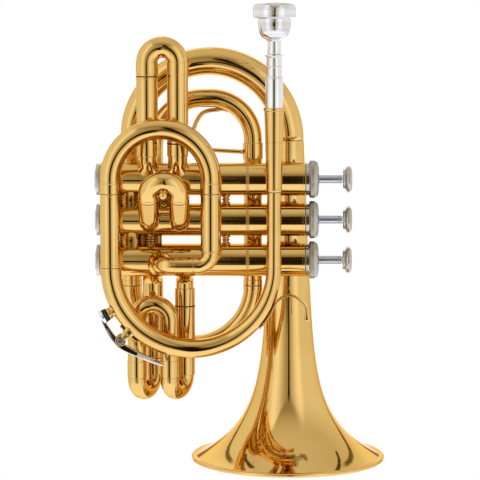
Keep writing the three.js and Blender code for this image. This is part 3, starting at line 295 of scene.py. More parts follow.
class Surface:
    """Places, quads or triangles as corner lists, their UVs and the edge mark of every point."""

    def __init__(self):
        self.places, self.edges, self.faces, self.count = [], [], [], 0

    def grid(self, rings, edge, marks, wrap=False):
        """The quad (i, j) joins rings i, i+1 and sides j, j+1, and marks has each ring's distance.
        Without wrap the ends are fanned. The volume, a sixth of the sum of a . (b x c), has to be
        positive, or the faces turn round."""
        rows, sides, _ = rings.shape
        i, j = (part.ravel() for part in np.mgrid[:rows if wrap else rows - 1, :sides])
        corner = [(0, 0), (1, 0), (1, 1), (0, 1)]
        faces = np.stack([((i + di) % rows) * sides + (j + dj) % sides for di, dj in corner], 1)
        uvs = np.stack([np.stack([(j + dj) / sides, marks[(i + di) % rows] * 0.01], 1)
                        for di, dj in corner], 1)
        places, edges, fans = rings.reshape(-1, 3), np.repeat(edge, sides), np.zeros((0, 3), int)
        if not wrap:
            side, pole = np.arange(sides), np.full(sides, len(places))
            following, last = (side + 1) % sides, len(places) - sides
            fans = np.vstack([np.stack([pole, side, following], 1),
                              np.stack([pole + 1, last + following, last + side], 1)])
            places = np.vstack([places, rings[[0, -1]].mean(1)])
            edges = np.append(edges, [0, 0])
        volume = sum((places[loops[:, 0]] * np.cross(places[loops[:, k]], places[loops[:, k + 1]])).sum()
                     for loops in (faces, fans) for k in range(1, loops.shape[1] - 1))
        way = 1 if volume > 0 else -1
        self.faces += [(faces[:, ::way] + self.count, uvs[:, ::way]),
                       (fans[:, ::way] + self.count, np.zeros((len(fans), 3, 2)))]
        self.places.append(places)
        self.edges.append(edges)
        self.count += len(places)
        return self

    def carried(self, rows, route, sides, shape, wrap):
        """One ring for each row: middle + r (cos t side + sin t (way x side))."""
        rows = laid_along(rows, route, wrap)
        places, ways, side = route.at(rows[:, 0])
        rings = places[:, None] + rows[:, 1, None, None] * ring(side, np.cross(ways, side), sides)
        return self.grid(shape(rings) if shape else rings, rows[:, 2], rows[:, 0], wrap)

    def tube(self, route, outer, inner, sides=64, shape=None):
        """A pipe's wall: outer corners one way and inner corners back. One number is a plain bore."""
        if not isinstance(inner, list):
            inner = stepped(outer[0][0], inner, outer[-1][0])
        return self.carried(softened([*outer, *inner[::-1]]), route, sides, shape, True)

    def turned(self, route, corners, sides=48, shape=None):
        """A solid piece off the lathe: the outline starts and ends on the axis, and is fanned there."""
        ends = [(corners[0][0], 0.0), (corners[-1][0], 0.0)]
        rows = softened([ends[0], *corners, ends[1]])[CORNER_ROWS:-CORNER_ROWS]
        return self.carried(rows, route, sides, shape, False)

    def coil(self, route, radius, wire, turns, sides=16, ease=0.5):
        """A spring: the wire's middle is axis(s) + R (cos T side + sin T other). Its pitch closes up at
        both ends, so the last turns lie flat as on a real spring."""
        share = np.linspace(0, 1, turns * COIL_STEPS + 1)
        lift = share - ease * np.sin(FULL * share) / FULL
        places, ways, side = route.at(route.start + (route.end - route.start) * lift)
        angle = (FULL * turns * share)[:, None]
        out = np.cos(angle) * side + np.sin(angle) * np.cross(ways, side)
        line = places + radius * out
        along = np.gradient(line, axis=0)
        along /= np.linalg.norm(along, axis=1, keepdims=True)
        rings = line[:, None] + wire * ring(out, np.cross(along, out), sides)
        return self.grid(rings, np.zeros(len(rings)), share * turns)

    def strip(self, route, stations, sides=48, squareness=0.3):
        """A flat bar, whose section at each (distance, half thickness, half width) is the rounded
        rectangle (h sign(c) |c|^q, w sign(s) |s|^q). A station may give its own q."""
        stations = np.array([(*station, squareness)[:4] for station in stations], float)
        distances = np.unique(np.append(route.stations(), stations[:, 0]))
        distances = distances[(distances >= route.start) & (distances <= route.end)]
        thick, wide, power = (np.interp(distances, stations[:, 0], column)[:, None]
                              for column in stations.T[1:])
        places, _, side = route.at(distances)
        angle = (np.arange(sides) + 0.5) * FULL / sides
        cosine, sine = (np.sign(v) * np.abs(v) ** power for v in (np.cos(angle), np.sin(angle)))
        rings = places[:, None] + (thick * cosine)[..., None] * side[:, None]
        rings = rings + (wide * sine)[..., None] * [0, 1.0, 0]
        return self.grid(rings, np.zeros(len(rings)), distances)

    def mesh(self, name):
        """Fills a Blender mesh with foreach_set: points, corners, faces, UVs and the edge mark."""
        mesh = bpy.data.meshes.new(name)
        places = to_model(np.vstack(self.places))
        sizes = np.concatenate([np.full(len(faces), faces.shape[1]) for faces, _ in self.faces])
        corners, uvs = (np.concatenate([table.ravel() for table in tables]) for tables in zip(*self.faces))
        mesh.vertices.add(len(places))
        mesh.loops.add(len(corners))
        mesh.polygons.add(len(sizes))
        for items, field, values, kind in (
                (mesh.vertices, "co", places, np.float32), (mesh.loops, "vertex_index", corners, np.int32),
                (mesh.polygons, "loop_start", np.cumsum(sizes) - sizes, np.int32)):
            items.foreach_set(field, values.astype(kind).ravel())
        mesh.update(calc_edges=True)
        mesh.polygons.foreach_set("use_smooth", np.ones(len(sizes), bool))
        mesh.uv_layers.new(name="along").data.foreach_set("uv", uvs.astype(np.float32))
        mark = mesh.attributes.new("edge", "FLOAT", "POINT")
        mark.data.foreach_set("value", np.concatenate(self.edges).astype(np.float32))
        return mesh


# %% [markdown]
# Two kinds of shape change a piece's rings after they are laid: a tube that lands on a casing is
# pushed out to its wall, and a cap's rim is cut with teeth. A finished surface then stands for its
# node of the frame.

# %% Shapes and dressing
SEAT_RADIUS, TEETH = 9.9, 96


def reshaped(heights, scale_of):
    """A shape that scales each point's offset from the casing axes at those heights."""
    def push(rings):
        for height in heights:
            offset = rings[..., 1:] - [0, height]
            scaled = offset * scale_of(rings[..., 0], offset)[..., None] + [0, height]
            rings = np.concatenate([rings[..., :1], scaled], -1)
        return rings
    return push


def seated(*heights):
    """Pushes points inside those casings out to the wall: where the offset's length d is less than
    the seat's radius, it is multiplied by radius / d."""
    return reshaped(heights, lambda place, offset: np.maximum(
        1, SEAT_RADIUS / np.maximum(np.linalg.norm(offset, axis=-1), 1e-6)))


def knurled(height, low, high, depth):
    """Cuts straight teeth between two places along X: the offset is multiplied by
    1 - depth (1 + cos(teeth t)) / 2."""
    return reshaped([height], lambda place, offset: 1 - ((place > low) & (place < high)) * depth * (
        1 + np.cos(TEETH * np.arctan2(offset[..., 1], offset[..., 0]))) / 2)


def dress(node, surface, finish=None, suffix="skin"):
    """Makes the surface stand for its CAD node, ride on the node's body and take its finish from
    the node's slot or its own. Prints how far its box is from the solid's."""
    mesh = surface.mesh(f"{node}.{suffix}")
    mesh.materials.append(finishes[finish or slot_of[node]])
    piece = bpy.data.objects.new(f"{node}.{suffix}", mesh)
    bpy.context.scene.collection.objects.link(piece)
    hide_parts(node)
    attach(piece, body_of[node])
    places = to_model(np.vstack(surface.places))
    off = np.abs(np.stack([places.min(0), places.max(0)]) - np.array(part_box(node))).max() / MILLIMETRE
    print(f"{node}: {len(places)} points, box within {off:.2f} mm of the solid's")


print("a knurled cap has", TEETH, "teeth")

# %% [markdown]
# Materials are built from sockets that behave like numbers: adding or multiplying two of them makes
# the maths node. Everything else, such as noise or an attribute, comes from one method.

# %% Sockets and shaders
def acting(operation, order=1):
    """A method that makes one maths node of the wire and another value, in that order or reversed."""
    return lambda *wires: wires[0].shader.maths(operation, *wires[::order])


class Wire:
    """A node's output. Maths between wires, or a wire and a number, makes maths nodes."""

    def __init__(self, shader, socket):
        self.shader, self.socket = shader, socket

    __add__ = __radd__ = acting("ADD")
    __mul__ = acting("MULTIPLY")
    __sub__, __rsub__ = acting("SUBTRACT"), acting("SUBTRACT", -1)
    __truediv__, __pow__, __abs__ = acting("DIVIDE"), acting("POWER"), acting("ABSOLUTE")
    length = acting("LENGTH")

    def __neg__(self):
        return self * -1.0

    def rising(self, low, high):
        """0 below low, 1 above high and the smooth step 3t^2 - 2t^3 between them."""
        return self.shader.node("MapRange", {"Value": self, "From Min": low, "From Max": high},
                                interpolation_type="SMOOTHSTEP")

    def to(self, other, share):
        """self where share is 0, other where it is 1."""
        return self + (other - self) * share


class Shader:
    """One node tree with the helpers that all the materials share."""

    def __init__(self, tree):
        self.tree = tree
        tree.nodes.clear()

    def node(self, kind, values=None, output=0, **settings):
        """Any node: its input values by name or number, the output wanted, and its settings."""
        node = self.tree.nodes.new("ShaderNode" + kind)
        for name, value in settings.items():
            setattr(node, name, value)
        for name, value in (values or {}).items():
            socket = node.inputs[name]
            if isinstance(value, Wire):
                self.tree.links.new(value.socket, socket)
            elif hasattr(socket.default_value, "__len__") and not hasattr(value, "__len__"):
                socket.default_value = [value] * len(socket.default_value)
            else:
                socket.default_value = value
        return Wire(self, node.outputs[output]) if node.outputs else None

    def maths(self, operation, *values):
        wide = any(isinstance(v, tuple) or (isinstance(v, Wire) and v.socket.type in ("VECTOR", "RGBA"))
                   for v in values)
        return self.node("VectorMath" if wide else "Math", dict(enumerate(values)), operation=operation)

    def colour(self, *channels):
        return self.node("CombineXYZ", dict(enumerate(channels)))

    def noise(self, scale, detail=2.0, stretch=(1, 1, 1), distortion=0.0):
        """Noise from about 0.3 to 0.7 in the object's own place, with scale in waves per metre."""
        place = self.node("TexCoord", output="Object") * tuple(scale * s for s in stretch)
        return self.node("TexNoise", {"Vector": place, "Scale": 1.0, "Detail": detail, "Roughness": 0.55,
                                      "Distortion": distortion})

    def bump(self, height, distance):
        return self.node("Bump", {"Height": height, "Distance": distance, "Strength": 1.0})


def principled(name, looks):
    """A material whose looks(shader) returns the Principled inputs: constants and wires by name."""
    material = bpy.data.materials.new(name)
    material.use_nodes = True
    shader = Shader(material.node_tree)
    shader.node("OutputMaterial", {"Surface": shader.node("BsdfPrincipled", looks(shader))})
    return material


print("sockets ready")

# %% [markdown]
# Lacquered brass shows three things at once: the gold of the metal, the colourless gloss of the
# lacquer over it, and the wear of use. Slow clouds shift the gold, fine specks and rubbed edges
# darken it, and finger marks dull the gloss. Plated pieces have the same wear on a grey metal.

# %% Metals, cork and nylon
def plated(tone, dark, gloss, haze, coat=0.0, lathe=0.0, edge_tint=(1, 1, 1, 1)):
    """tone drifts towards dark in slow clouds and in specks where noise passes 0.7, and the
    roughness is gloss + haze times smeared noise. lathe, from 0 to 1, smears reflections along X, as
    the fine rings do that a lathe leaves round a casing."""
    def looks(shader):
        cloud = shader.noise(28, 3, distortion=0.6).rising(0.35, 0.7)
        speck = shader.noise(1500, 1).rising(0.70, 0.76) * shader.noise(60).rising(0.5, 0.62)
        smear = shader.noise(55, 4, (1, 1, 0.35), distortion=1.2).rising(0.45, 0.75)
        rubbed = shader.node("Attribute", output="Fac", attribute_name="edge")
        base = shader.colour(*tone).to(shader.colour(*dark), cloud * 0.35 + speck * 0.7)
        wave = shader.noise(4200, 2) * 0.1 + shader.noise(240, 2)
        return {"Base Color": base * (1.0 - rubbed * 0.12), "Metallic": 1.0,
                "Roughness": gloss + smear * haze + rubbed * 0.05,
                "Coat Weight": coat, "Coat Roughness": 0.03, "Coat IOR": 1.5,
                "Anisotropic": lathe, "Specular Tint": edge_tint, "Normal": shader.bump(wave, 0.000012)}
    return looks


def brushed_steel(shader):
    grain = shader.noise(2600, 2, (1, 0.1, 1))
    return {"Base Color": shader.colour(0.44, 0.45, 0.47) * (0.7 + grain * 0.5), "Metallic": 1.0,
            "Roughness": 0.22 + grain * 0.2, "Normal": shader.bump(grain, 0.00001)}


def moulded_nylon(shader):
    cloud = shader.noise(400, 3)
    return {"Base Color": shader.colour(0.80, 0.78, 0.70) * (0.85 + cloud * 0.25),
            "Roughness": 0.45 + cloud * 0.2, "Normal": shader.bump(cloud, 0.00002)}


def black_cork(shader):
    crumb = shader.noise(1400, 4)
    return {"Base Color": shader.colour(0.022, 0.020, 0.018) * (0.5 + crumb),
            "Roughness": 0.8 + crumb * 0.2, "Normal": shader.bump(crumb.rising(0.35, 0.7), 0.00018)}


GOLD, DARK_GOLD, GOLD_EDGE = (0.745, 0.487, 0.160), (0.63, 0.375, 0.10), (0.85, 0.62, 0.32, 1)
# Tone, dark, gloss, haze, coat, lathe and edge tint. Each kind of nickel has its own tone; the top caps'
# darker copy of the plate is painted shade.
METALS = {
    "lacquered_brass": (GOLD, DARK_GOLD, 0.035, 0.05, 0.15, 0.0, GOLD_EDGE),
    "casing_brass": (GOLD, DARK_GOLD, 0.06, 0.03, 0.15, 0.6, GOLD_EDGE),
    "shaded_brass": ((0.44, 0.24, 0.05), (0.32, 0.17, 0.04), 0.10, 0.08, 0.1, 0.0, GOLD_EDGE),
    # The elbows' brass is the gold darkened: painted shade.
    "shaded_elbow_brass": ((0.64, 0.40, 0.12), (0.52, 0.30, 0.08), 0.05, 0.06, 0.15, 0.0, GOLD_EDGE),
    "nickel_plate": ((0.57, 0.55, 0.53), (0.40, 0.37, 0.33), 0.10, 0.14),
    "base_nickel": ((0.66, 0.62, 0.57), (0.48, 0.43, 0.38), 0.10, 0.12),
    # The top caps' nickel is the plate darkened: painted shade.
    "shaded_cap_nickel": ((0.50, 0.47, 0.40), (0.36, 0.33, 0.28), 0.12, 0.08),
    "button_nickel": ((0.55, 0.51, 0.46), (0.38, 0.34, 0.30), 0.10, 0.12),
    "stem_nickel": ((0.52, 0.54, 0.60), (0.40, 0.42, 0.47), 0.2, 0.06),
    "silver_plate": ((0.80, 0.79, 0.77), (0.64, 0.61, 0.56), 0.02, 0.04),
    "screw_steel": ((0.30, 0.29, 0.28), (0.20, 0.19, 0.18), 0.22, 0.10),
}
looks_of = {name: plated(*values) for name, values in METALS.items()}
looks_of |= {"spring_steel": brushed_steel, "guide_nylon": moulded_nylon, "cork": black_cork}
finishes = {name: principled(name, looks) for name, looks in looks_of.items()}
for name, node in frame["nodes"].items():
    node.data.materials.clear()
    node.data.materials.append(finishes[slot_of[name]])
print("finishes:", ", ".join(finishes))

# %% [markdown]
# The valve block comes first: three casings lying across the horn, each with a cap at both ends.
# A casing has a thin ring at each end and a double band two thirds of the way along. A bottom cap
# is domed over a knurled skirt, and a top cap has a bulging knurled flange for the fingers and a
# dished end round the stem.

# %% Valve casings, caps, stems and buttons
VALVE_HEIGHTS = FIRST_VALVE, SECOND_VALVE, THIRD_VALVE = 181.6, 156.3, 131.0
CASING_RADIUS, CASING_BORE = 10.2, 8.9
CASING_LEFT, CASING_RIGHT = -76.8, 50.8
BAND_PLACE, BAND_HALF, BAND_RISE, BEAD = 14.95, 0.8, 0.35, 0.55
END_RING, END_RISE = 1.5, 0.14
CAP_RADIUS, CAP_RIGHT, THREAD, CAP_THREAD_END, CAP_HOLLOW = 9.8, -77.1, 8.55, -74.4, 6.75
NECK_LEFT, NECK_RIGHT, NECK_RADIUS, TOP_THREAD_END = 51.1, 53.4, 10.35, 46.1
TOP_CAP_ROOF, STEM_HOLE = 57.6, 3.0
STEM_LEFT, STEM_GROOVE, STEM_RIGHT, STEM_RADIUS = 43.8, 71.6, 73.8, 2.65
BUTTON_LEFT, BUTTON_RADIUS, SKIRT = 74.1, 8.5, 6.4

band, end_ring = CASING_RADIUS + BAND_RISE, CASING_RADIUS + END_RISE
left_ring, right_ring = CASING_LEFT + END_RING, CASING_RIGHT - END_RING
casing = [*stepped(CASING_LEFT, end_ring, left_ring), (left_ring, CASING_RADIUS)]
for start in (BAND_PLACE - BAND_HALF, BAND_PLACE + BAND_HALF - BEAD):
    casing += [(start, CASING_RADIUS), (start, band, BEAD / 2), (start + BEAD, band, BEAD / 2),
               (start + BEAD, CASING_RADIUS)]
casing += [(right_ring, CASING_RADIUS), *stepped(right_ring, end_ring, CASING_RIGHT)]
dome = [(0, 2.2, 0.4), (0.35, 2.5, 0.3), (0.05, 3.0, 0.4), (0, 7.4, 1.2), (0.75, CAP_RADIUS - 0.45, 0.6),
        (1.0, CAP_RADIUS, 0.25)]
bottom_cap = [*shifted(dome, CAP_LEFT), (CAP_RIGHT, CAP_RADIUS, 0.25),
              *stepped(CAP_RIGHT, THREAD, CAP_THREAD_END, CAP_HOLLOW, CAP_LEFT + 1.8)]
flange = [(0, 10.9, 0.3), (0.9, 11.68, 0.3), (3.2, 11.62, 0.6), (5.1, 10.5, 0.6), (5.9, 9.0, 0.5),
          (6.0, 8.2, 0.4), (5.5, 7.2, 0.4), (5.6, 4.4, 0.3), (6.0, 3.9, 0.2), (6.0, STEM_HOLE)]
top_cap = [*stepped(TOP_THREAD_END, THREAD, NECK_LEFT, NECK_RADIUS, NECK_RIGHT), *shifted(flange, NECK_RIGHT)]
top_hollow = [*stepped(TOP_THREAD_END, CAP_HOLLOW, TOP_CAP_ROOF), (TOP_CAP_ROOF, STEM_HOLE)]
button = shifted([(0, 3.4, 0.2), (0.2, SKIRT - 0.5, 0.4), (1.1, SKIRT, 0.4), (1.75, SKIRT - 0.2, 0.2),
                  (2.0, BUTTON_RADIUS - 0.9, 0.5), (3.3, BUTTON_RADIUS, 1.1), (4.5, BUTTON_RADIUS, 1.0),
                  (5.85, BUTTON_RADIUS - 1.5, 0.9), (6.1, 3.5, 1.0)], BUTTON_LEFT)
groove = [(0, STEM_RADIUS, 0.1), (0.2, STEM_RADIUS - 0.25, 0.1), (0.4, STEM_RADIUS, 0.1)]
stem = [(STEM_LEFT, STEM_RADIUS), *shifted(groove, STEM_GROOVE), (STEM_RIGHT, STEM_RADIUS)]
for number, height in enumerate(VALVE_HEIGHTS, 1):
    axis = level(height)
    dress(f"valve_casing_{number}", Surface().tube(axis, casing, CASING_BORE, 128), "casing_brass")
    teeth = knurled(height, CAP_LEFT + 1.0, CAP_RIGHT - 0.2, 0.018)
    dress(f"bottom_cap_{number}", Surface().turned(axis, bottom_cap, 384, teeth), "base_nickel")
    teeth = knurled(height, NECK_RIGHT + 0.6, 58.6, 0.022)
    # The top caps take the darker nickel, which is painted shade.
    dress(f"top_cap_{number}", Surface().tube(axis, top_cap, top_hollow, 384, teeth), "shaded_cap_nickel")
    dress(f"finger_button_{number}", Surface().turned(axis, button, 96), "button_nickel")
    dress(f"valve_stem_{number}", Surface().turned(axis, stem), "stem_nickel")

# %% [markdown]
# Springs are the one wound form. Their ends close up, as ground ends do, and they keep the room
# that the model gives them between the guide and the barrel's roof.

# %% Springs
SPRING_RADIUS, SPRING_WIRE, SPRING_TURNS = 5.6, 0.55, 6
SPRING_FROM, SPRING_TO = -1.0, 39.65
for number, height in enumerate(VALVE_HEIGHTS, 1):
    axis = Route([(SPRING_FROM, 0, height), (SPRING_TO, 0, height)])
    dress(f"valve_spring_{number}", Surface().coil(axis, SPRING_RADIUS, SPRING_WIRE, SPRING_TURNS))

# %% [markdown]
# Between the casings run two air passages and two turned braces, with small turned columns beside
# each passage. Each tube's end is pushed out to the casing's wall, so the joint is the saddle line
# of a tube on a tube.

# %% Between the casings
PASSAGE_PLACE, PASSAGE_RADIUS, PASSAGE_BORE, SUNK = -57.6, 5.75, 5.15, 5
BRACE_PLACE, BRACE_RADIUS, BRACE_FOOT, BRACE_COLLAR = 1.4, 1.9, 3.1, 2.9
# Columns as place, depth, radius and the rise of their beads
COLUMNS = {"12": [(-64.2, 3.0, 1.8, 0.5), (-52.3, 3.0, 1.6, 0.0), (-49.3, 3.5, 3.6, 0.0),
                  (-45.4, -1.0, 3.3, 0.8), (-37.2, -1.0, 3.3, 0.8), (-33.4, 3.5, 2.6, 0.0)],
           "23": [(-64.2, 3.0, 1.8, 0.5), (-52.6, 3.0, 1.6, 0.0), (-50.2, 3.5, 3.6, 0.0),
                  (-45.4, -1.0, 3.3, 0.8), (-41.2, 3.5, 2.6, 0.0)]}
for label, lower, upper in (("12", SECOND_VALVE, FIRST_VALVE), ("23", THIRD_VALVE, SECOND_VALVE)):
    middle, low, high, seat = (lower + upper) / 2, lower + SUNK, upper - SUNK, seated(lower, upper)
    wall = [(place, PASSAGE_RADIUS) for place in (low, middle - 2, middle + 2, high)]
    passage = Surface().tube(upright(PASSAGE_PLACE, 0), wall, PASSAGE_BORE, 96, seat)
    for place, depth, radius, bead in COLUMNS[label]:
        ring_rows = [(-0.7, radius, 0.2), (-0.5, radius + bead, 0.3)]
        ring_rows += mirror(ring_rows, 0)
        beads = [row for rise in (-1.6, 0.0, 1.6) for row in shifted(ring_rows, middle + rise)]
        passage.turned(upright(place, depth), [(low, radius), *beads, (high, radius)], 48, seat)
    dress(f"valve_knuckle_{label}", passage, "shaded_brass")
    low, high = lower + CASING_RADIUS - 0.2, upper - CASING_RADIUS + 0.2
    half = [(low, BRACE_FOOT), (low + 0.8, BRACE_FOOT - 0.3, 0.3), (low + 1.3, BRACE_RADIUS, 0.4),
            (middle - 0.6, BRACE_RADIUS, 0.3)]
    dress(f"casing_brace_{label}", Surface().turned(upright(BRACE_PLACE, 0), [
        *half, (middle, BRACE_COLLAR, 0.5), *mirror(half, low + high)]))

# %% [markdown]
# The mouthpiece is silver: a rounded rim, a bulging cup, a thin waist with a collar under it and a
# long tapering shank that enters the receiver. The receiver widens upwards and ends in a bead.

# %% Mouthpiece, receiver and leadpipe
FRONT, LEADPIPE_PLACE, LEAD_BORE, SEAM = -20.0, 31.2, 3.8, 128.45
lead_axis = upright(LEADPIPE_PLACE, FRONT)
mouthpiece_outside = [
    (204.9, 4.45), (227.0, 5.3, 0.3), (244.9, 5.45, 0.2), (245.4, 5.1, 0.15), (245.9, 5.1, 0.15),
    (246.1, 4.8, 0.1), (251.3, 4.75, 0.1), (251.6, 4.95, 0.15), (252.1, 4.95, 0.15), (252.4, 4.7, 0.1),
    (257.6, 4.6, 0.3), (258.1, 5.3, 0.25), (258.5, 5.55, 0.25), (259.4, 5.5, 0.3), (259.7, 4.3, 0.3),
    (267.5, 4.15, 0.4), (268.5, 5.0, 0.5), (269.4, 7.2, 0.9), (271.4, 8.9, 1.4), (274.4, 10.0, 1.6),
    (277.9, 10.4, 1.5), (281.3, 10.35, 0.25), (281.7, 12.7, 0.3), (282.1, 13.45, 0.4), (283.0, 13.5, 0.5),
    (287.6, 13.5, 1.2), (290.0, 12.5, 1.2), (291.0, 10.9, 0.6)]
mouthpiece_inside = [
    (204.9, 3.85), (216.9, 2.6, 1.0), (279.0, 1.9, 1.0), (280.6, 2.6, 0.6), (281.6, 4.3, 0.8),
    (283.2, 6.0, 0.9), (285.6, 7.4, 1.2), (288.6, 8.2, 1.0), (290.0, 8.9, 0.7), (290.75, 9.8, 0.5)]
dress("mouthpiece", Surface().tube(lead_axis, mouthpiece_outside, mouthpiece_inside, 128))
receiver_outside = [
    (175.3, 4.75), (176.4, 5.25, 0.3), (177.6, 4.85, 0.3), (206.0, 5.5, 0.5), (222.8, 6.0, 0.2),
    (224.9, 6.05, 0.2), (225.1, 6.5, 0.25), (226.9, 6.5, 0.3)]
receiver_inside = [*stepped(175.3, LEAD_BORE, 204.6), (204.9, 4.8), (226.9, 5.35)]
dress("mouthpiece_receiver", Surface().tube(lead_axis, receiver_outside, receiver_inside, 96))
dress("leadpipe", Surface().tube(lead_axis, [(SEAM, 4.5, 0.03), (175.0, 4.4)], LEAD_BORE))

# %% [markdown]
# The front coil lies in one plane: the leadpipe, the big front bow that widens as it goes, and the
# main tuning slide. The slide is one hairpin: thin legs that hide in the tubes, two ferrules and
# the bow between them.

# %% Front bow and main tuning slide
LEFT_PLACE, RIGHT_PLACE, BOW_HEIGHT, LEFT_TUBE_FOOT, RIGHT_TUBE_FOOT = -69.4, -7.7, 128.4, 128.7, 139.45
SLIDE_RADIUS, SLIDE_BORE, LEG_RADIUS, LEG_BORE, FERRULE = 6.35, 5.75, 5.2, 4.6, 6.6
BOW_START_RADIUS, BOW_GROWTH_SHARE = 4.6, 0.625
LEG_FOOT, BAND_FOOT, FERRULE_FOOT, FERRULE_TOP, TUNING_CENTRE = 142.0, 172.6, 174.3, 181.4, 183.1
bow_radius = (LEADPIPE_PLACE - LEFT_PLACE) / 2
bow_route = hairpin(LEADPIPE_PLACE, LEFT_PLACE, FRONT, BOW_HEIGHT, BOW_HEIGHT, BOW_HEIGHT, -1)
end, grown = bow_route.end, BOW_GROWTH_SHARE * bow_route.end
dress("front_bow", Surface().tube(
    bow_route, [(0, 4.5, 0.03), (5, BOW_START_RADIUS, 0), (grown, SLIDE_RADIUS, 0), (end, SLIDE_RADIUS)],
    [(0, LEAD_BORE), (grown, SLIDE_BORE, 0), (end, SLIDE_BORE)]))
for side, place, foot, radius in (("left", LEFT_PLACE, LEFT_TUBE_FOOT, FERRULE),
                                  ("right", RIGHT_PLACE, RIGHT_TUBE_FOOT, SLIDE_RADIUS + 0.04)):
    outside = [(foot, radius, 0.05), (foot + 1.6, radius, 0.1),
               *stepped(foot + 1.6, SLIDE_RADIUS, BAND_FOOT, FERRULE, BAND_FOOT + 1.4)]
    dress(f"tuning_tube_{side}", Surface().tube(upright(place, FRONT), outside, SLIDE_BORE))
tuning_route = hairpin(LEFT_PLACE, RIGHT_PLACE, FRONT, LEG_FOOT, LEG_FOOT, TUNING_CENTRE)
ferrule_end = FERRULE_TOP - LEG_FOOT
groove = [(-1.2, FERRULE, 0.15), (-1.0, FERRULE - 0.15, 0.1), (-0.8, FERRULE, 0.15)]
leg = [*stepped(0, LEG_RADIUS, FERRULE_FOOT - LEG_FOOT), (FERRULE_FOOT - LEG_FOOT, FERRULE),
       *shifted(groove, ferrule_end), (ferrule_end, FERRULE), (ferrule_end, SLIDE_RADIUS)]
dress("tuning_slide", Surface().tube(tuning_route, leg + mirror(leg, tuning_route.end), LEG_BORE))

# %% [markdown]
# An elbow leads from the tuning slide into the third valve. It swells into a cone where it meets
# the casing, and has a plain sleeve on its level stretch.

# %% Elbow into the third valve
ELBOW_TOP, ELBOW_HEIGHT, ELBOW_PLACE, ELBOW_BEND, PORT_DEPTH = 139.4, 129.8, -39.5, 8.4, -9.2
ELBOW_RADIUS, ELBOW_BORE, FLANGE_RADIUS = 5.35, 4.75, 7.7
elbow_route = Route([(RIGHT_PLACE, FRONT, ELBOW_TOP), (RIGHT_PLACE, FRONT, ELBOW_HEIGHT),
                     (ELBOW_PLACE, FRONT, ELBOW_HEIGHT), (ELBOW_PLACE, PORT_DEPTH, ELBOW_HEIGHT)], ELBOW_BEND)
level_start = ELBOW_TOP - ELBOW_HEIGHT - ELBOW_BEND + ELBOW_BEND * math.pi / 2 + (RIGHT_PLACE - ELBOW_BEND)
low, high, end = level_start + 18.8, level_start + 30.0, elbow_route.end
seam = [(-0.7, 0.0), (-0.65, -0.4), (0, -0.4), (0.05, 0.12), (high - low, 0.12), (high - low + 0.05, 0.0)]
cone = [(-4.4, ELBOW_RADIUS, 0.6), (-2.2, FLANGE_RADIUS - 0.3, 0.5), (-1.4, FLANGE_RADIUS, 0.3),
        (0, FLANGE_RADIUS)]
elbow = [*stepped(0, SLIDE_RADIUS, 1.1), (1.2, 5.6, 0.3), (6.0, ELBOW_RADIUS, 0.5),
         *((low + step, ELBOW_RADIUS + rise, 0.05) for step, rise in seam), *shifted(cone, end)]
dress("third_valve_elbow", Surface().tube(elbow_route, elbow, ELBOW_BORE, 64, seated(THIRD_VALVE)))

# %% [markdown]
# The first slide rises from the first valve behind the tuning slide. On its left the moving leg
# goes inside a fixed tube, on its right it goes over one.

# %% First slide
FIRST_DEPTH, FIRST_LEFT, FIRST_RIGHT, FIRST_CENTRE = -6.0, -47.2, -28.3, 254.3
FIRST_RADIUS, FIRST_BORE, FIRST_BAND = 6.6, 6.0, 6.85
KNUCKLE_TOP, KNUCKLE_RADIUS, KNUCKLE_CORNER, KNUCKLE_BEND = 196.4, 6.05, 192.6, 7
OUTER_TOP, INNER_TOP, SLEEVE_TOP, BAND_HEIGHT = 245.3, 251.3, 203.9, 246.9
LEFT_FOOT, RIGHT_FOOT, JOINT_RING_GAP, JOINT_RING_HEIGHT = 199.4, 204.5, 0.1, 0.6
for node, place, top in (("outer", FIRST_LEFT, OUTER_TOP), ("inner", FIRST_RIGHT, INNER_TOP)):
    route = Route([(place, FIRST_DEPTH, top), (place, FIRST_DEPTH, KNUCKLE_CORNER),
                   (place, 0, FIRST_VALVE)], KNUCKLE_BEND)
    step, end = top - KNUCKLE_TOP, route.end - 4
    head, bore = (FIRST_BAND, 1.4), stepped(0, FIRST_BORE, step, LEG_BORE, end)
    if node == "inner":
        head, bore = (LEG_RADIUS, top - SLEEVE_TOP), LEG_BORE
    dress(f"first_slide_{node}_tube", Surface().tube(
        route, stepped(0, *head, FIRST_RADIUS, step, KNUCKLE_RADIUS, end), bore, 64, seated(FIRST_VALVE)))
route = hairpin(FIRST_LEFT, FIRST_RIGHT, FIRST_DEPTH, LEFT_FOOT, RIGHT_FOOT, FIRST_CENTRE)
end, low = route.end, OUTER_TOP + JOINT_RING_HEIGHT - LEFT_FOOT
dress("first_slide", Surface().tube(route, stepped(
    0, LEG_RADIUS, low, FIRST_RADIUS, BAND_HEIGHT - LEFT_FOOT, FIRST_BAND, FIRST_CENTRE - LEFT_FOOT,
    FIRST_RADIUS, end - (FIRST_CENTRE - RIGHT_FOOT), FIRST_BAND, end - (BAND_HEIGHT - RIGHT_FOOT),
    FIRST_RADIUS, end), stepped(0, LEG_BORE, low, FIRST_BORE, end)))


def black_joint_ring(surface, place, depth, low, radius):
    """A thin black ring round the inner leg, in the joint between the two shoulders."""
    wall = stepped(low + 0.05, radius, low + JOINT_RING_HEIGHT - 0.05)
    return surface.tube(upright(place, depth), wall, LEG_RADIUS + JOINT_RING_GAP)


# Black rings draw the dark line in the first slide's joints.
rings = black_joint_ring(Surface(), FIRST_LEFT, FIRST_DEPTH, OUTER_TOP, 6.7)
rings = black_joint_ring(rings, FIRST_RIGHT, FIRST_DEPTH, SLEEVE_TOP, 6.75)
dress("first_slide", rings, "cork", "black_joint_ring")

# %% [markdown]
# The second slide is short and leans thirty degrees towards the player. Its reaches are measured up
# the lean from the corner of its elbows, and a small ball on a neck stands on its crown.

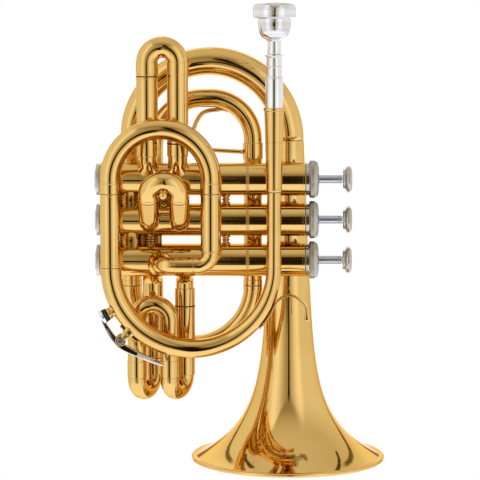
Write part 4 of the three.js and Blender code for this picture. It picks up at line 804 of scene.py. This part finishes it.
# %% Second slide
SECOND_LEAN, SECOND_TURN_DEPTH, SECOND_LEFT, SECOND_RIGHT = math.pi / 6, -15.5, -46.0, -27.0
SECOND_ELBOW, SECOND_BORE, SECOND_LEG, SECOND_LEG_BORE = 6.3, 5.7, 4.9, 4.3
SECOND_FERRULE, SECOND_BOW, SECOND_BEND = 6.35, 6.1, 8
LEG_REACH, FERRULE_REACH, FERRULE_END, BOW_REACH = 5.92, 17.3, 18.9, 20.6
KNOB_TURN, KNOB_BALL, BALL_RADIUS, KNOB_PLATE, KNOB_NECK, KNOB_WAIST = 2.757, 9.0, 2.5, 3.1, 1.5, 2.0


def leaning(turn):
    """The direction up a slope that leans by that angle from the vertical towards the player."""
    return np.array([0, -math.sin(turn), math.cos(turn)])


def up_the_lean(place, reach):
    """The point at that reach up the lean from the elbow's corner at that place."""
    return np.array([place, SECOND_TURN_DEPTH, SECOND_VALVE]) + leaning(SECOND_LEAN) * reach


for side, place in (("left", SECOND_LEFT), ("right", SECOND_RIGHT)):
    route = Route([(place, PORT_DEPTH, SECOND_VALVE), up_the_lean(place, 0),
                   up_the_lean(place, FERRULE_REACH - 0.3)], SECOND_BEND)
    outside = stepped(0, SECOND_ELBOW, route.end - 1.2, SECOND_FERRULE, route.end)
    elbow = Surface().tube(route, outside, SECOND_BORE, 64, seated(SECOND_VALVE))
    # The elbows take the darker brass, which is painted shade.
    dress(f"second_slide_elbow_{side}", elbow, "shaded_elbow_brass")
second_radius = (SECOND_RIGHT - SECOND_LEFT) / 2
second_top = BOW_REACH + second_radius
reaches = [LEG_REACH, second_top, second_top, LEG_REACH]
places = [SECOND_LEFT] * 2 + [SECOND_RIGHT] * 2
route = Route([*map(up_the_lean, places, reaches)], second_radius)
leg = [*stepped(0, SECOND_LEG, FERRULE_REACH - LEG_REACH, SECOND_FERRULE, FERRULE_END - LEG_REACH),
       (FERRULE_END - LEG_REACH, SECOND_BOW)]
dress("second_slide", Surface().tube(route, leg + mirror(leg, route.end), SECOND_LEG_BORE))
crown = up_the_lean((SECOND_LEFT + SECOND_RIGHT) / 2, second_top)
ball = [(KNOB_BALL + BALL_RADIUS * math.sin(turn), BALL_RADIUS * math.cos(turn), 0)
        for turn in np.linspace(-0.62, 1.45, 14)]
dress("second_slide_knob", Surface().turned(Route([crown, crown + leaning(KNOB_TURN) * 20]), [
    (5.7, 2.4), (6.3, 1.8, 0.4), (6.7, KNOB_NECK, 0.2), (6.75, KNOB_PLATE, 0.2), (7.15, KNOB_PLATE, 0.2),
    (7.2, KNOB_WAIST, 0.1), *ball]))

# %% [markdown]
# The third slide hangs down. Its moving piece is one long run: up inside the left tube's foot, a bow
# forwards, up and over the crown, a bow back, and a sleeve over the right tube.

# %% Third slide
FAR, NEAR, FAR_LEFT, FAR_RIGHT, NEAR_LEFT, NEAR_RIGHT = 10.0, -6.4, -44.6, -24.5, -54.2, -33.8
THIRD_CENTRE, CROWN_CENTRE, CROWN_RADIUS = 57.6, 93.6, 10.2
THIRD_LEG, THIRD_FERRULE, SLEEVE_LENGTH = 40.2, 50.6, 43.5
TUBE_RADIUS, CUFF_RADIUS, THIRD_CORNER = 5.75, 6.0, 117.5
LEFT_TOP, RIGHT_TOP, OUTER_FOOT, INNER_FOOT, SLEEVE_FOOT, SLEEVE_HEAD = 108, 100.5, 68.4, 61.6, 101.1, 112
left_radius, right_radius = (math.hypot(far - near, FAR - NEAR) / 2
                             for far, near in ((FAR_LEFT, NEAR_LEFT), (FAR_RIGHT, NEAR_RIGHT)))
foot, crown = THIRD_CENTRE - left_radius, CROWN_CENTRE + CROWN_RADIUS
route = Route([(FAR_LEFT, FAR, LEFT_TOP), (FAR_LEFT, FAR, foot), (NEAR_LEFT, NEAR, foot),
               (NEAR_LEFT, NEAR, crown), (NEAR_RIGHT, NEAR, crown), (NEAR_RIGHT, NEAR, foot),
               (FAR_RIGHT, FAR, foot), (FAR_RIGHT, FAR, RIGHT_TOP)],
              [left_radius] * 2 + [CROWN_RADIUS] * 2 + [right_radius - 0.02] * 2)
end, up = route.end, LEFT_TOP - THIRD_CENTRE + math.pi * left_radius
down = up + 2 * (CROWN_CENTRE - THIRD_CENTRE) + math.pi * CROWN_RADIUS


def cuff(start, finish, way):
    """A groove and the cuff beyond it, from the seam at start; way is -1 where the run is reversed."""
    rows = [(0, TUBE_RADIUS, 0.05), (0.05, 5.5, 0.05), (0.6, 5.5, 0.05), (0.65, CUFF_RADIUS, 0.05)]
    rows = [(start + way * step, radius, rounding) for step, radius, rounding in rows]
    return [*rows, (finish, CUFF_RADIUS), (finish, TUBE_RADIUS)][::way]


sleeve = end - SLEEVE_LENGTH
outside = [*stepped(0, LEG_RADIUS, THIRD_LEG, SLIDE_RADIUS, THIRD_FERRULE), (THIRD_FERRULE, TUBE_RADIUS),
           *cuff(up - 0.1, up + 10.6, 1), *cuff(down + 0.05, down - 10.8, -1), (sleeve, TUBE_RADIUS),
           *stepped(sleeve, SLIDE_RADIUS, end - 1.4, SLIDE_RADIUS + 0.2, end)]
dress("third_slide", Surface().tube(route, outside, stepped(0, LEG_BORE, sleeve, SLIDE_BORE, end)))
# A black ring draws the dark line in the third slide's joint.
dress("third_slide", black_joint_ring(Surface(), FAR_RIGHT, FAR, RIGHT_TOP, 6.45), "cork", "black_joint_ring")
for node, place, foot in (("outer", FAR_LEFT, OUTER_FOOT), ("inner", FAR_RIGHT, INNER_FOOT)):
    route = Route([(place, 0, THIRD_VALVE), (place, FAR, THIRD_CORNER), (place, FAR, foot)], KNUCKLE_BEND)
    end = route.end
    outside, bore = stepped(4, SLIDE_RADIUS, end - 1.4, FERRULE, end), SLIDE_BORE
    if node == "inner":
        outside, bore = stepped(4, LEG_RADIUS + 0.3, end - (SLEEVE_HEAD - foot), SLIDE_RADIUS,
                                end - (SLEEVE_FOOT - foot), LEG_RADIUS, end), LEG_BORE
    dress(f"third_slide_{node}_tube", Surface().tube(route, outside, bore, 64, seated(THIRD_VALVE)))

# %% [markdown]
# The rear coil carries the sound from the first valve to the bell: over the inner arch, down and
# round the rear bow, then up over the bell bow, whose bore opens like a square root.

# %% Inner arch, rear bow and bell bow
ARCH_LEFT, ARCH_RIGHT, ARCH_CENTRE, ARCH_RADIUS = -44.2, 18.5, 199.7, 31.35
ARCH_SHOULDER, ARCH_BORE, ARCH_PORT, ARCH_BEND = 26.5, 5.15, 9.2, 9
FERRULE_HIGH, FERRULE_LOW, REAR_SEAM, REAR_LEFT, REAR_HEIGHT = 202.8, 192.5, 112.2, -58.5, 111.9
BELL_BOW_CENTRE, BELL_BOW_END, WALL = 204.7, 9.7, 0.6
arch_top = ARCH_CENTRE + ARCH_RADIUS
route = Route([(ARCH_LEFT, ARCH_PORT, FIRST_VALVE), (ARCH_LEFT, BELL_DEPTH, FIRST_VALVE),
               (ARCH_LEFT, BELL_DEPTH, arch_top), (ARCH_RIGHT, BELL_DEPTH, arch_top),
               (ARCH_RIGHT, BELL_DEPTH, REAR_SEAM)], [ARCH_BEND, ARCH_RADIUS, ARCH_SHOULDER])
end, cuff_radius = route.end, TUBE_RADIUS + 0.3
high, low = end - (FERRULE_HIGH - REAR_SEAM), end - (FERRULE_LOW - REAR_SEAM)
outside = [(0, 6.6), (2.2, 6.6, 0.3), (3.0, TUBE_RADIUS, 0.5), (high, TUBE_RADIUS),
           *stepped(high, SLIDE_RADIUS, low, TUBE_RADIUS, end - 3.4, cuff_radius, end)]
dress("inner_arch", Surface().tube(route, outside, ARCH_BORE, 64, seated(FIRST_VALVE)))
route = hairpin(ARCH_RIGHT, REAR_LEFT, BELL_DEPTH, REAR_HEIGHT, REAR_HEIGHT, REAR_HEIGHT, -1)
outside = [*stepped(0, cuff_radius, 3.4), (3.4, TUBE_RADIUS + 0.02), (route.end, SLIDE_RADIUS)]
dress("rear_bow", Surface().tube(route, outside, [(0, ARCH_BORE), (route.end, SLIDE_BORE)]))
route = hairpin(REAR_LEFT, BELL_PLACE, BELL_DEPTH, REAR_SEAM, BELL_BOW_CENTRE, BELL_BOW_CENTRE)
arch_start = BELL_BOW_CENTRE - REAR_SEAM
length, growth = route.end - arch_start, BELL_BOW_END - SLIDE_RADIUS
growing = [(arch_start + root ** 2 * length, SLIDE_RADIUS + growth * root, 0)
           for root in np.linspace(0, 1, 15)]
bore = [(0, SLIDE_BORE), *((place, radius - WALL, 0) for place, radius, _ in growing)]
dress("bell_bow", Surface().tube(route, [*stepped(0, FERRULE, 3.2), (3.2, SLIDE_RADIUS), *growing], bore, 96))

# %% [markdown]
# The bell is a long cone with a flare that dies away exponentially, and a rim rolled over a wire.

# %% Bell
BELL_TOP, BELL_WALL, RIM_WIRE = 204.4, 0.9, 1.35
CONE_RADIUS, CONE_SLOPE, FLARE_HEIGHT = 18.6, 0.0435, 20.9


def bell_radius(height):
    """Cone radius minus slope times height, plus the flare's reach times exp((w - height) / F)."""
    reach = BELL_RIM - RIM_WIRE - CONE_RADIUS
    return CONE_RADIUS - CONE_SLOPE * height + reach * np.exp((RIM_WIRE - height) / FLARE_HEIGHT)


heights = RIM_WIRE + (BELL_TOP - 3.4 - RIM_WIRE) * np.linspace(0, 1, 90) ** 2.2
rim = [(RIM_WIRE + RIM_WIRE * math.sin(turn), BELL_RIM - RIM_WIRE + RIM_WIRE * math.cos(turn), 0)
       for turn in np.linspace(-math.pi / 2, math.pi / 2, 11)]
rim += [(2 * RIM_WIRE - 0.15, BELL_RIM - 2.2, 0.1), (RIM_WIRE + 1.0, BELL_RIM - 3.4, 0.2)]
flare = [(height, bell_radius(height), 0) for height in heights if bell_radius(height) < BELL_RIM - 4.2]
collar = float(bell_radius(BELL_TOP))
inside = [(0.0, BELL_RIM - 2.6 * RIM_WIRE, 0.2), (1.0, BELL_RIM - 4.4, 0.3),
          *((height + BELL_WALL * 0.4, radius - BELL_WALL, 0) for height, radius, _ in flare),
          (BELL_TOP, collar - BELL_WALL)]
outside = [*rim, *flare, (BELL_TOP, collar)]
dress("bell", Surface().tube(upright(BELL_PLACE, BELL_DEPTH), outside, inside, 256))

# %% [markdown]
# What the hands hold: a flat hook on the front bow for the right little finger, and a ring of bent
# rod inside the arch for the left hand's finger.

# %% Finger hook and thumb ring
BOW_CENTRE = [(LEADPIPE_PLACE + LEFT_PLACE) / 2, FRONT, LEFT_TUBE_FOOT]
HOOK_THICK, HOOK_REACH, HOOK_RISE = 1.4, 20.3, 6.9
HOOK_SHARES = [(0.08, 0.42), (0.28, 0.86), (0.54, 1), (0.8, 0.52), (0.97, -0.12), (1, -1.45)]
RING_WIRE, ROD_HEIGHT, ROD_FALL, ROD_SHARES = 1.35, 198.4, 1.4, (0.28, 0.64, 1)
RING_SHARES = [(1.13, 0.315), (1.072, 0.357), (1.003, 0.393), (0.952, 0.438), (0.911, 0.475), (0.859, 0.509),
               (0.79, 0.539), (0.698, 0.573), (0.591, 0.62), (0.497, 0.672), (0.357, 0.755), (0.2, 0.891),
               (0.0872, 1.183)]
ARCH_INSIDE = ARCH_RADIUS - TUBE_RADIUS - 0.3


def round_centre(centre, reach, turn):
    """The point at that reach and angle in the centre's plane: centre + reach (cos t, 0, sin t)."""
    return np.array(centre) + reach * np.array([math.cos(turn), 0, math.sin(turn)])


def on_bow(reach, turn):
    return round_centre(BOW_CENTRE, reach, turn)


def hook_seat(turn):
    """The middle of the hook's foot where it lies on the growing bow."""
    grown = min(1, -turn / math.pi / BOW_GROWTH_SHARE)
    tube_radius = BOW_START_RADIUS + (SLIDE_RADIUS - BOW_START_RADIUS) * grown
    return on_bow(bow_radius + tube_radius + HOOK_THICK / 2, turn)


points = [hook_seat(turn) for turn in np.linspace(-0.748, -0.45, 4)]
points += [points[-1] + [along * HOOK_REACH, 0, up * HOOK_RISE] for along, up in HOOK_SHARES]
route = Through(points, 10)
foot = [(0, 0.35, 1.6), (1.2, 0.6, 2.6), (3, 0.7, 2.8)]
tip = [(-8, 0.7, 2.8), (-5, 0.9, 2.75), (-3.2, 1.5, 2.7), (-1.6, 1.75, 2.5), (-0.5, 1.3, 1.9), (0, 0.5, 0.8)]
dress("finger_hook", Surface().strip(route, [*foot, *shifted(tip, route.end)], 48, 0.45))
arch_place = (ARCH_LEFT + ARCH_RIGHT) / 2
points = [round_centre([arch_place, BELL_DEPTH, ARCH_CENTRE], reach * ARCH_INSIDE, math.pi * turn)
          for reach, turn in RING_SHARES]
rod = ARCH_RIGHT - SLIDE_RADIUS - arch_place
points += [(arch_place + rod * share, BELL_DEPTH, ROD_HEIGHT - ROD_FALL * share) for share in ROD_SHARES]
route = Through(points, 10)
half = [(0, RING_WIRE + 0.5), (1.2, RING_WIRE, 0.5)]
dress("thumb_ring", Surface().turned(route, half + mirror(half, route.end), 32))

# %% [markdown]
# Two turned posts hold the coils off the valve block: one from the leadpipe to the middle casing,
# one from the first casing back to the inner arch.

# %% Posts
POST_RADIUS, REAR_POST_HEIGHT = 1.9, 187.2
front_post = [(-15.9, 3.1), (-14.9, 2.9, 0.4), (-14.2, POST_RADIUS, 0.4), (-12.0, POST_RADIUS, 0.4),
              (-11.3, 2.9, 0.4), (-10.0, 3.1)]
rear_post = [(7.6, 3.0), (9.6, 2.8, 0.4), (10.6, POST_RADIUS, 0.6), (13.6, POST_RADIUS, 0.3),
             (14.2, 2.5, 0.3), (14.8, POST_RADIUS, 0.3), (17.4, POST_RADIUS, 0.5), (18.4, 3.0, 0.3),
             (19.5, 3.1)]
dress("leadpipe_brace", Surface().turned(fore_and_aft(LEADPIPE_PLACE, SECOND_VALVE), front_post))
rear_axis = fore_and_aft(ARCH_RIGHT, REAR_POST_HEIGHT)
dress("rear_brace", Surface().turned(rear_axis, rear_post, 48, seated(FIRST_VALVE)))

# %% [markdown]
# The water key sits on the front bow's lower left. Everything in it is placed by an angle round the
# bow's centre and a height over its tube: nipple, cork and cup, the lever's pivot and its tongue.

# %% Water key
NIPPLE_TURN, PIVOT_TURN = math.pi + 0.508, math.pi + 0.796
BOW_OUTSIDE = bow_radius + SLIDE_RADIUS
CORK_LOW, CORK_HIGH, CORK_RADIUS = BOW_OUTSIDE + 3.3, BOW_OUTSIDE + 6.1, 3.95
CUP_LOW, CUP_HIGH = CORK_HIGH - 0.5, CORK_HIGH + 1.8
HUB_REACH, LUG_RADIUS, SCREW_HEAD = BOW_OUTSIDE + 6.6, 3.3, 2.2
# The bar as (turn past the nipple, reach past the bow's outside, half thickness, half width, squareness)
LEVER_BAR = [
    (0.0, 7.6, 0.4, 1.5, 0.4), (0.03, 7.8, 1.2, 2.1, 0.3), (0.12, 8.2, 1.6, 2.0, 0.22),
    (0.20, 8.8, 1.9, 1.8, 0.22), (0.288, 9.2, 2.1, 1.7, 0.22), (0.35, 8.9, 2.1, 1.7, 0.22),
    (0.42, 8.1, 1.9, 1.9, 0.22), (0.50, 7.3, 1.7, 2.2, 0.25), (0.57, 6.9, 1.5, 2.8, 0.4),
    (0.64, 6.7, 1.4, 3.6, 0.7), (0.70, 6.7, 1.35, 4.1, 0.9), (0.75, 6.8, 1.1, 3.9, 0.9),
    (0.772, 6.9, 0.6, 3.0, 0.9)]
PLATE_TURNS, PLATE_THICK = (-0.115, -0.1, -0.03, 0.05, 0.125, 0.143), 0.75
nipple_axis = Route([on_bow(0, NIPPLE_TURN), on_bow(90, NIPPLE_TURN)])
pivot = on_bow(HUB_REACH, PIVOT_TURN)
pivot_axis = Route([pivot - [0, 20, 0], pivot + [0, 20, 0]], start=-20)

nipple = [(-1.9, 4.2), (0.1, 4.2, 0.3), (0.6, 3.1, 0.2), (1.2, 3.1, 0.2), (1.5, 3.7, 0.3), (2.6, 3.7, 0.3),
          (3.1, 3.0, 0.2)]
dress("water_key_nipple", Surface().tube(nipple_axis, shifted(nipple, BOW_OUTSIDE), 1.45, 48))
dress("water_key_cork", Surface().turned(nipple_axis, [
    (CORK_LOW, CORK_RADIUS - 0.1, 0.4), (CORK_LOW + 0.5, CORK_RADIUS, 0.3), (CORK_HIGH, CORK_RADIUS)]))
lever = Surface().tube(nipple_axis, [
    (CUP_LOW, 4.65, 0.15), (CUP_HIGH - 0.8, 4.7, 0.5), (CUP_HIGH, 3.6, 0.8), (CUP_HIGH + 0.25, 1.5, 0.4)],
    [(CUP_LOW, 4.2), (CORK_HIGH + 0.15, 4.15, 0.2), (CORK_HIGH + 0.2, 0.02)], 48)
bar = Through([on_bow(BOW_OUTSIDE + reach, NIPPLE_TURN + turn) for turn, reach, *_ in LEVER_BAR], 10)
lever.strip(bar, [(distance, *section) for distance, (_, _, *section) in zip(bar.along[::10], LEVER_BAR)])
lever.tube(pivot_axis, [(-3.7, 2.4), (-3.2, 2.5, 0.2), (-1.0, 2.5, 0.2), (-0.5, 2.4)], 1.3, 48)
dress("water_key_lever", lever)
saddle = Surface()
for start in (-5.1, 4.0):
    lug = [(start, LUG_RADIUS - 0.35, 0.3), (start + 0.3, LUG_RADIUS, 0.3)]
    saddle.tube(pivot_axis, lug + mirror(lug, 2 * start + 1.1), 1.25, 48)
    web_points = [on_bow(BOW_OUTSIDE + rise, PIVOT_TURN) + [0, start + 0.55, 0] for rise in (-3.0, 1, 4.9)]
    web = Through(web_points, 4)
    saddle.strip(web, [(0, 3.6, 1.1), (4, 3.0, 1.0), (web.end, 1.9, 0.8)], 32, 1.0)
plate = Through([on_bow(BOW_OUTSIDE + PLATE_THICK, PIVOT_TURN + turn) for turn in PLATE_TURNS], 6)
half = [(0, 0.4, 2.6), (0.9, PLATE_THICK, 3.6)]
dress("water_key_saddle", saddle.strip(plate, half + mirror(half, plate.end), 32, 0.9))
dress("water_key_screw", Surface().turned(pivot_axis, [
    (-6.2, SCREW_HEAD - 0.6, 0.4), (-5.9, SCREW_HEAD, 0.3), (-5.5, SCREW_HEAD, 0.15), (-5.4, 1.0, 0.1),
    (5.2, 1.0, 0.2), (5.4, 0.8, 0.1)], 32), "screw_steel")
spring_axis = Route([pivot + [0, 0.1, 0], pivot + [0, 3.4, 0]])
dress("water_key_spring", Surface().coil(spring_axis, 2.1, 0.32, 4, 12, 0.1))

# %% [markdown]
# The studio is a white tent. A polished tube is a mirror, so what it shows is the tent's walls: pale
# in front and above, white at the sides, with a dark slot round the lens that draws the thin dark
# line down every tube. The picture's ground is plain white.

# %% Tent and floor
SLOT_MIDDLE, SLOT_HALF, SLOT_SOFT, SLOT_FOOT, SLOT_HEAD = -0.055, 0.15, 0.06, -0.52, 0.47
SLOT_LEFT_FADE, SLOT_STAND = (-0.05, 0.0), -0.11
PANEL_MIDDLE, SEAM_AZIMUTH, HEM_AZIMUTH, REAR_SEAM_AZIMUTH = -0.065, 2.50, 2.46, 2.90
TENT_LEVEL, WARMTH = 1.18, (1.0, 1.12, 1.45)
FLOOR_RADIUS = 0.9


def line_mask(distance, half, soft):
    """1 where the distance is under half, 0 past half + soft."""
    return 1.0 - abs(distance).rising(half, half + soft)


def tent(shader):
    """The light by azimuth from the lens, atan(x / -y), and by z. The wall rises from grey beside the
    slot to a bright panel on each side, then falls to the plain cloth. The roof is grey in front
    and paler overhead. Dark lines are the cloth's seams."""
    direction = shader.node("TexCoord", output="Generated")
    x, y, z = (shader.node("SeparateXYZ", {"Vector": direction}, axis) for axis in "XYZ")
    azimuth = shader.maths("ARCTAN2", x, -y)
    away, across = abs(azimuth), abs(azimuth - PANEL_MIDDLE)
    left = (-azimuth).rising(0.0, 0.3)
    wall = 0.42 + across.rising(0.015, 0.785) * 0.67 - across.rising(0.80, 1.08) * 0.24
    wall = wall + away.rising(2.5, 2.8) * 0.28
    wall = wall * (1.0 - (1.0 - left) * z.rising(0.25, 0.85) * 0.22)
    wall = wall.to(1.10, (-z).rising(0.38, 0.58))
    roof = 0.30 + z.rising(0.5, 0.8) * 0.27 + z.rising(0.7, 1.0) * 0.15
    roof = roof + away.rising(0.6, 1.2) * (1.0 - z.rising(0.6, 0.95)) * 0.14
    roof_edge = 0.44 + across.rising(0.05, 0.95) * 0.33 + left * 0.06
    light = wall.to(roof, ((z - roof_edge) / (0.15 - left * 0.11)).rising(-1.0, 1.0))
    seam = line_mask(away - SEAM_AZIMUTH - abs(z - 0.4) * 0.16, 0.02, 0.03) * (1.0 - z.rising(0.70, 0.76))
    hem = line_mask(z - 0.735 - left * 0.08 - (away - 2.25).rising(0.0, 0.4) * 0.05, 0.008, 0.012)
    hem = hem * line_mask(away - HEM_AZIMUTH, 0.17, 0.03)
    rear = line_mask(away - REAR_SEAM_AZIMUTH, 0.02, 0.03) * line_mask(z - 0.16, 0.08, 0.06)
    slot = line_mask(azimuth - SLOT_MIDDLE, SLOT_HALF - SLOT_SOFT, SLOT_SOFT * 2)
    fade = azimuth.rising(*SLOT_LEFT_FADE)
    slot = slot * (fade + (1.0 - fade) * line_mask(z - SLOT_STAND, 0.05, 0.09))
    slot = slot * z.rising(SLOT_FOOT - 0.05, SLOT_FOOT + 0.05)
    slot = slot * (1.0 - z.rising(SLOT_HEAD - 0.10, SLOT_HEAD + 0.06))
    for line, depth in ((seam, 0.75), (hem, 0.9), (rear, 0.7), (slot, 0.975)):
        light = light * (1.0 - line * depth)
    return light * TENT_LEVEL


world = bpy.data.worlds.new("tent")
world.use_nodes = True
bpy.context.scene.world = world
shader = Shader(world.node_tree)
glossy_ray = shader.node("LightPath", output="Is Glossy Ray")
cloth_light = tent(shader)
light = shader.colour(*(1.0 - glossy_ray + glossy_ray * cloth_light ** power for power in WARMTH))
shader.node("OutputWorld", {"Surface": shader.node("Background", {"Color": light, "Strength": 1.0})})


def floor_looks(shader):
    """White and matt, with a faint glow that only the metal shows, and it fades out with distance."""
    far = shader.node("TexCoord", output="Object").length()
    weave = shader.noise(900, 2)
    glossy = shader.node("LightPath", output="Is Glossy Ray")
    return {"Base Color": shader.colour(0.97, 0.97, 0.965) * (0.99 + weave * 0.02), "Roughness": 0.9,
            "Specular IOR Level": 0.1, "Emission Color": shader.colour(1, 1, 1) * glossy * 0.14,
            "Emission Strength": 1.0, "Alpha": 1.0 - far.rising(FLOOR_RADIUS * 0.33, FLOOR_RADIUS * 0.9)}


floor_axis = Route([(*-SHIFT[:2], -10), (*-SHIFT[:2], 0)], start=-10)
disc = Surface().turned(floor_axis, stepped(-6, FLOOR_RADIUS / MILLIMETRE, -0.02), 96)
floor = bpy.data.objects.new("floor", disc.mesh("floor"))
floor.data.materials.append(principled("floor", floor_looks))
bpy.context.scene.collection.objects.link(floor)
print("floor of", disc.count, "points")
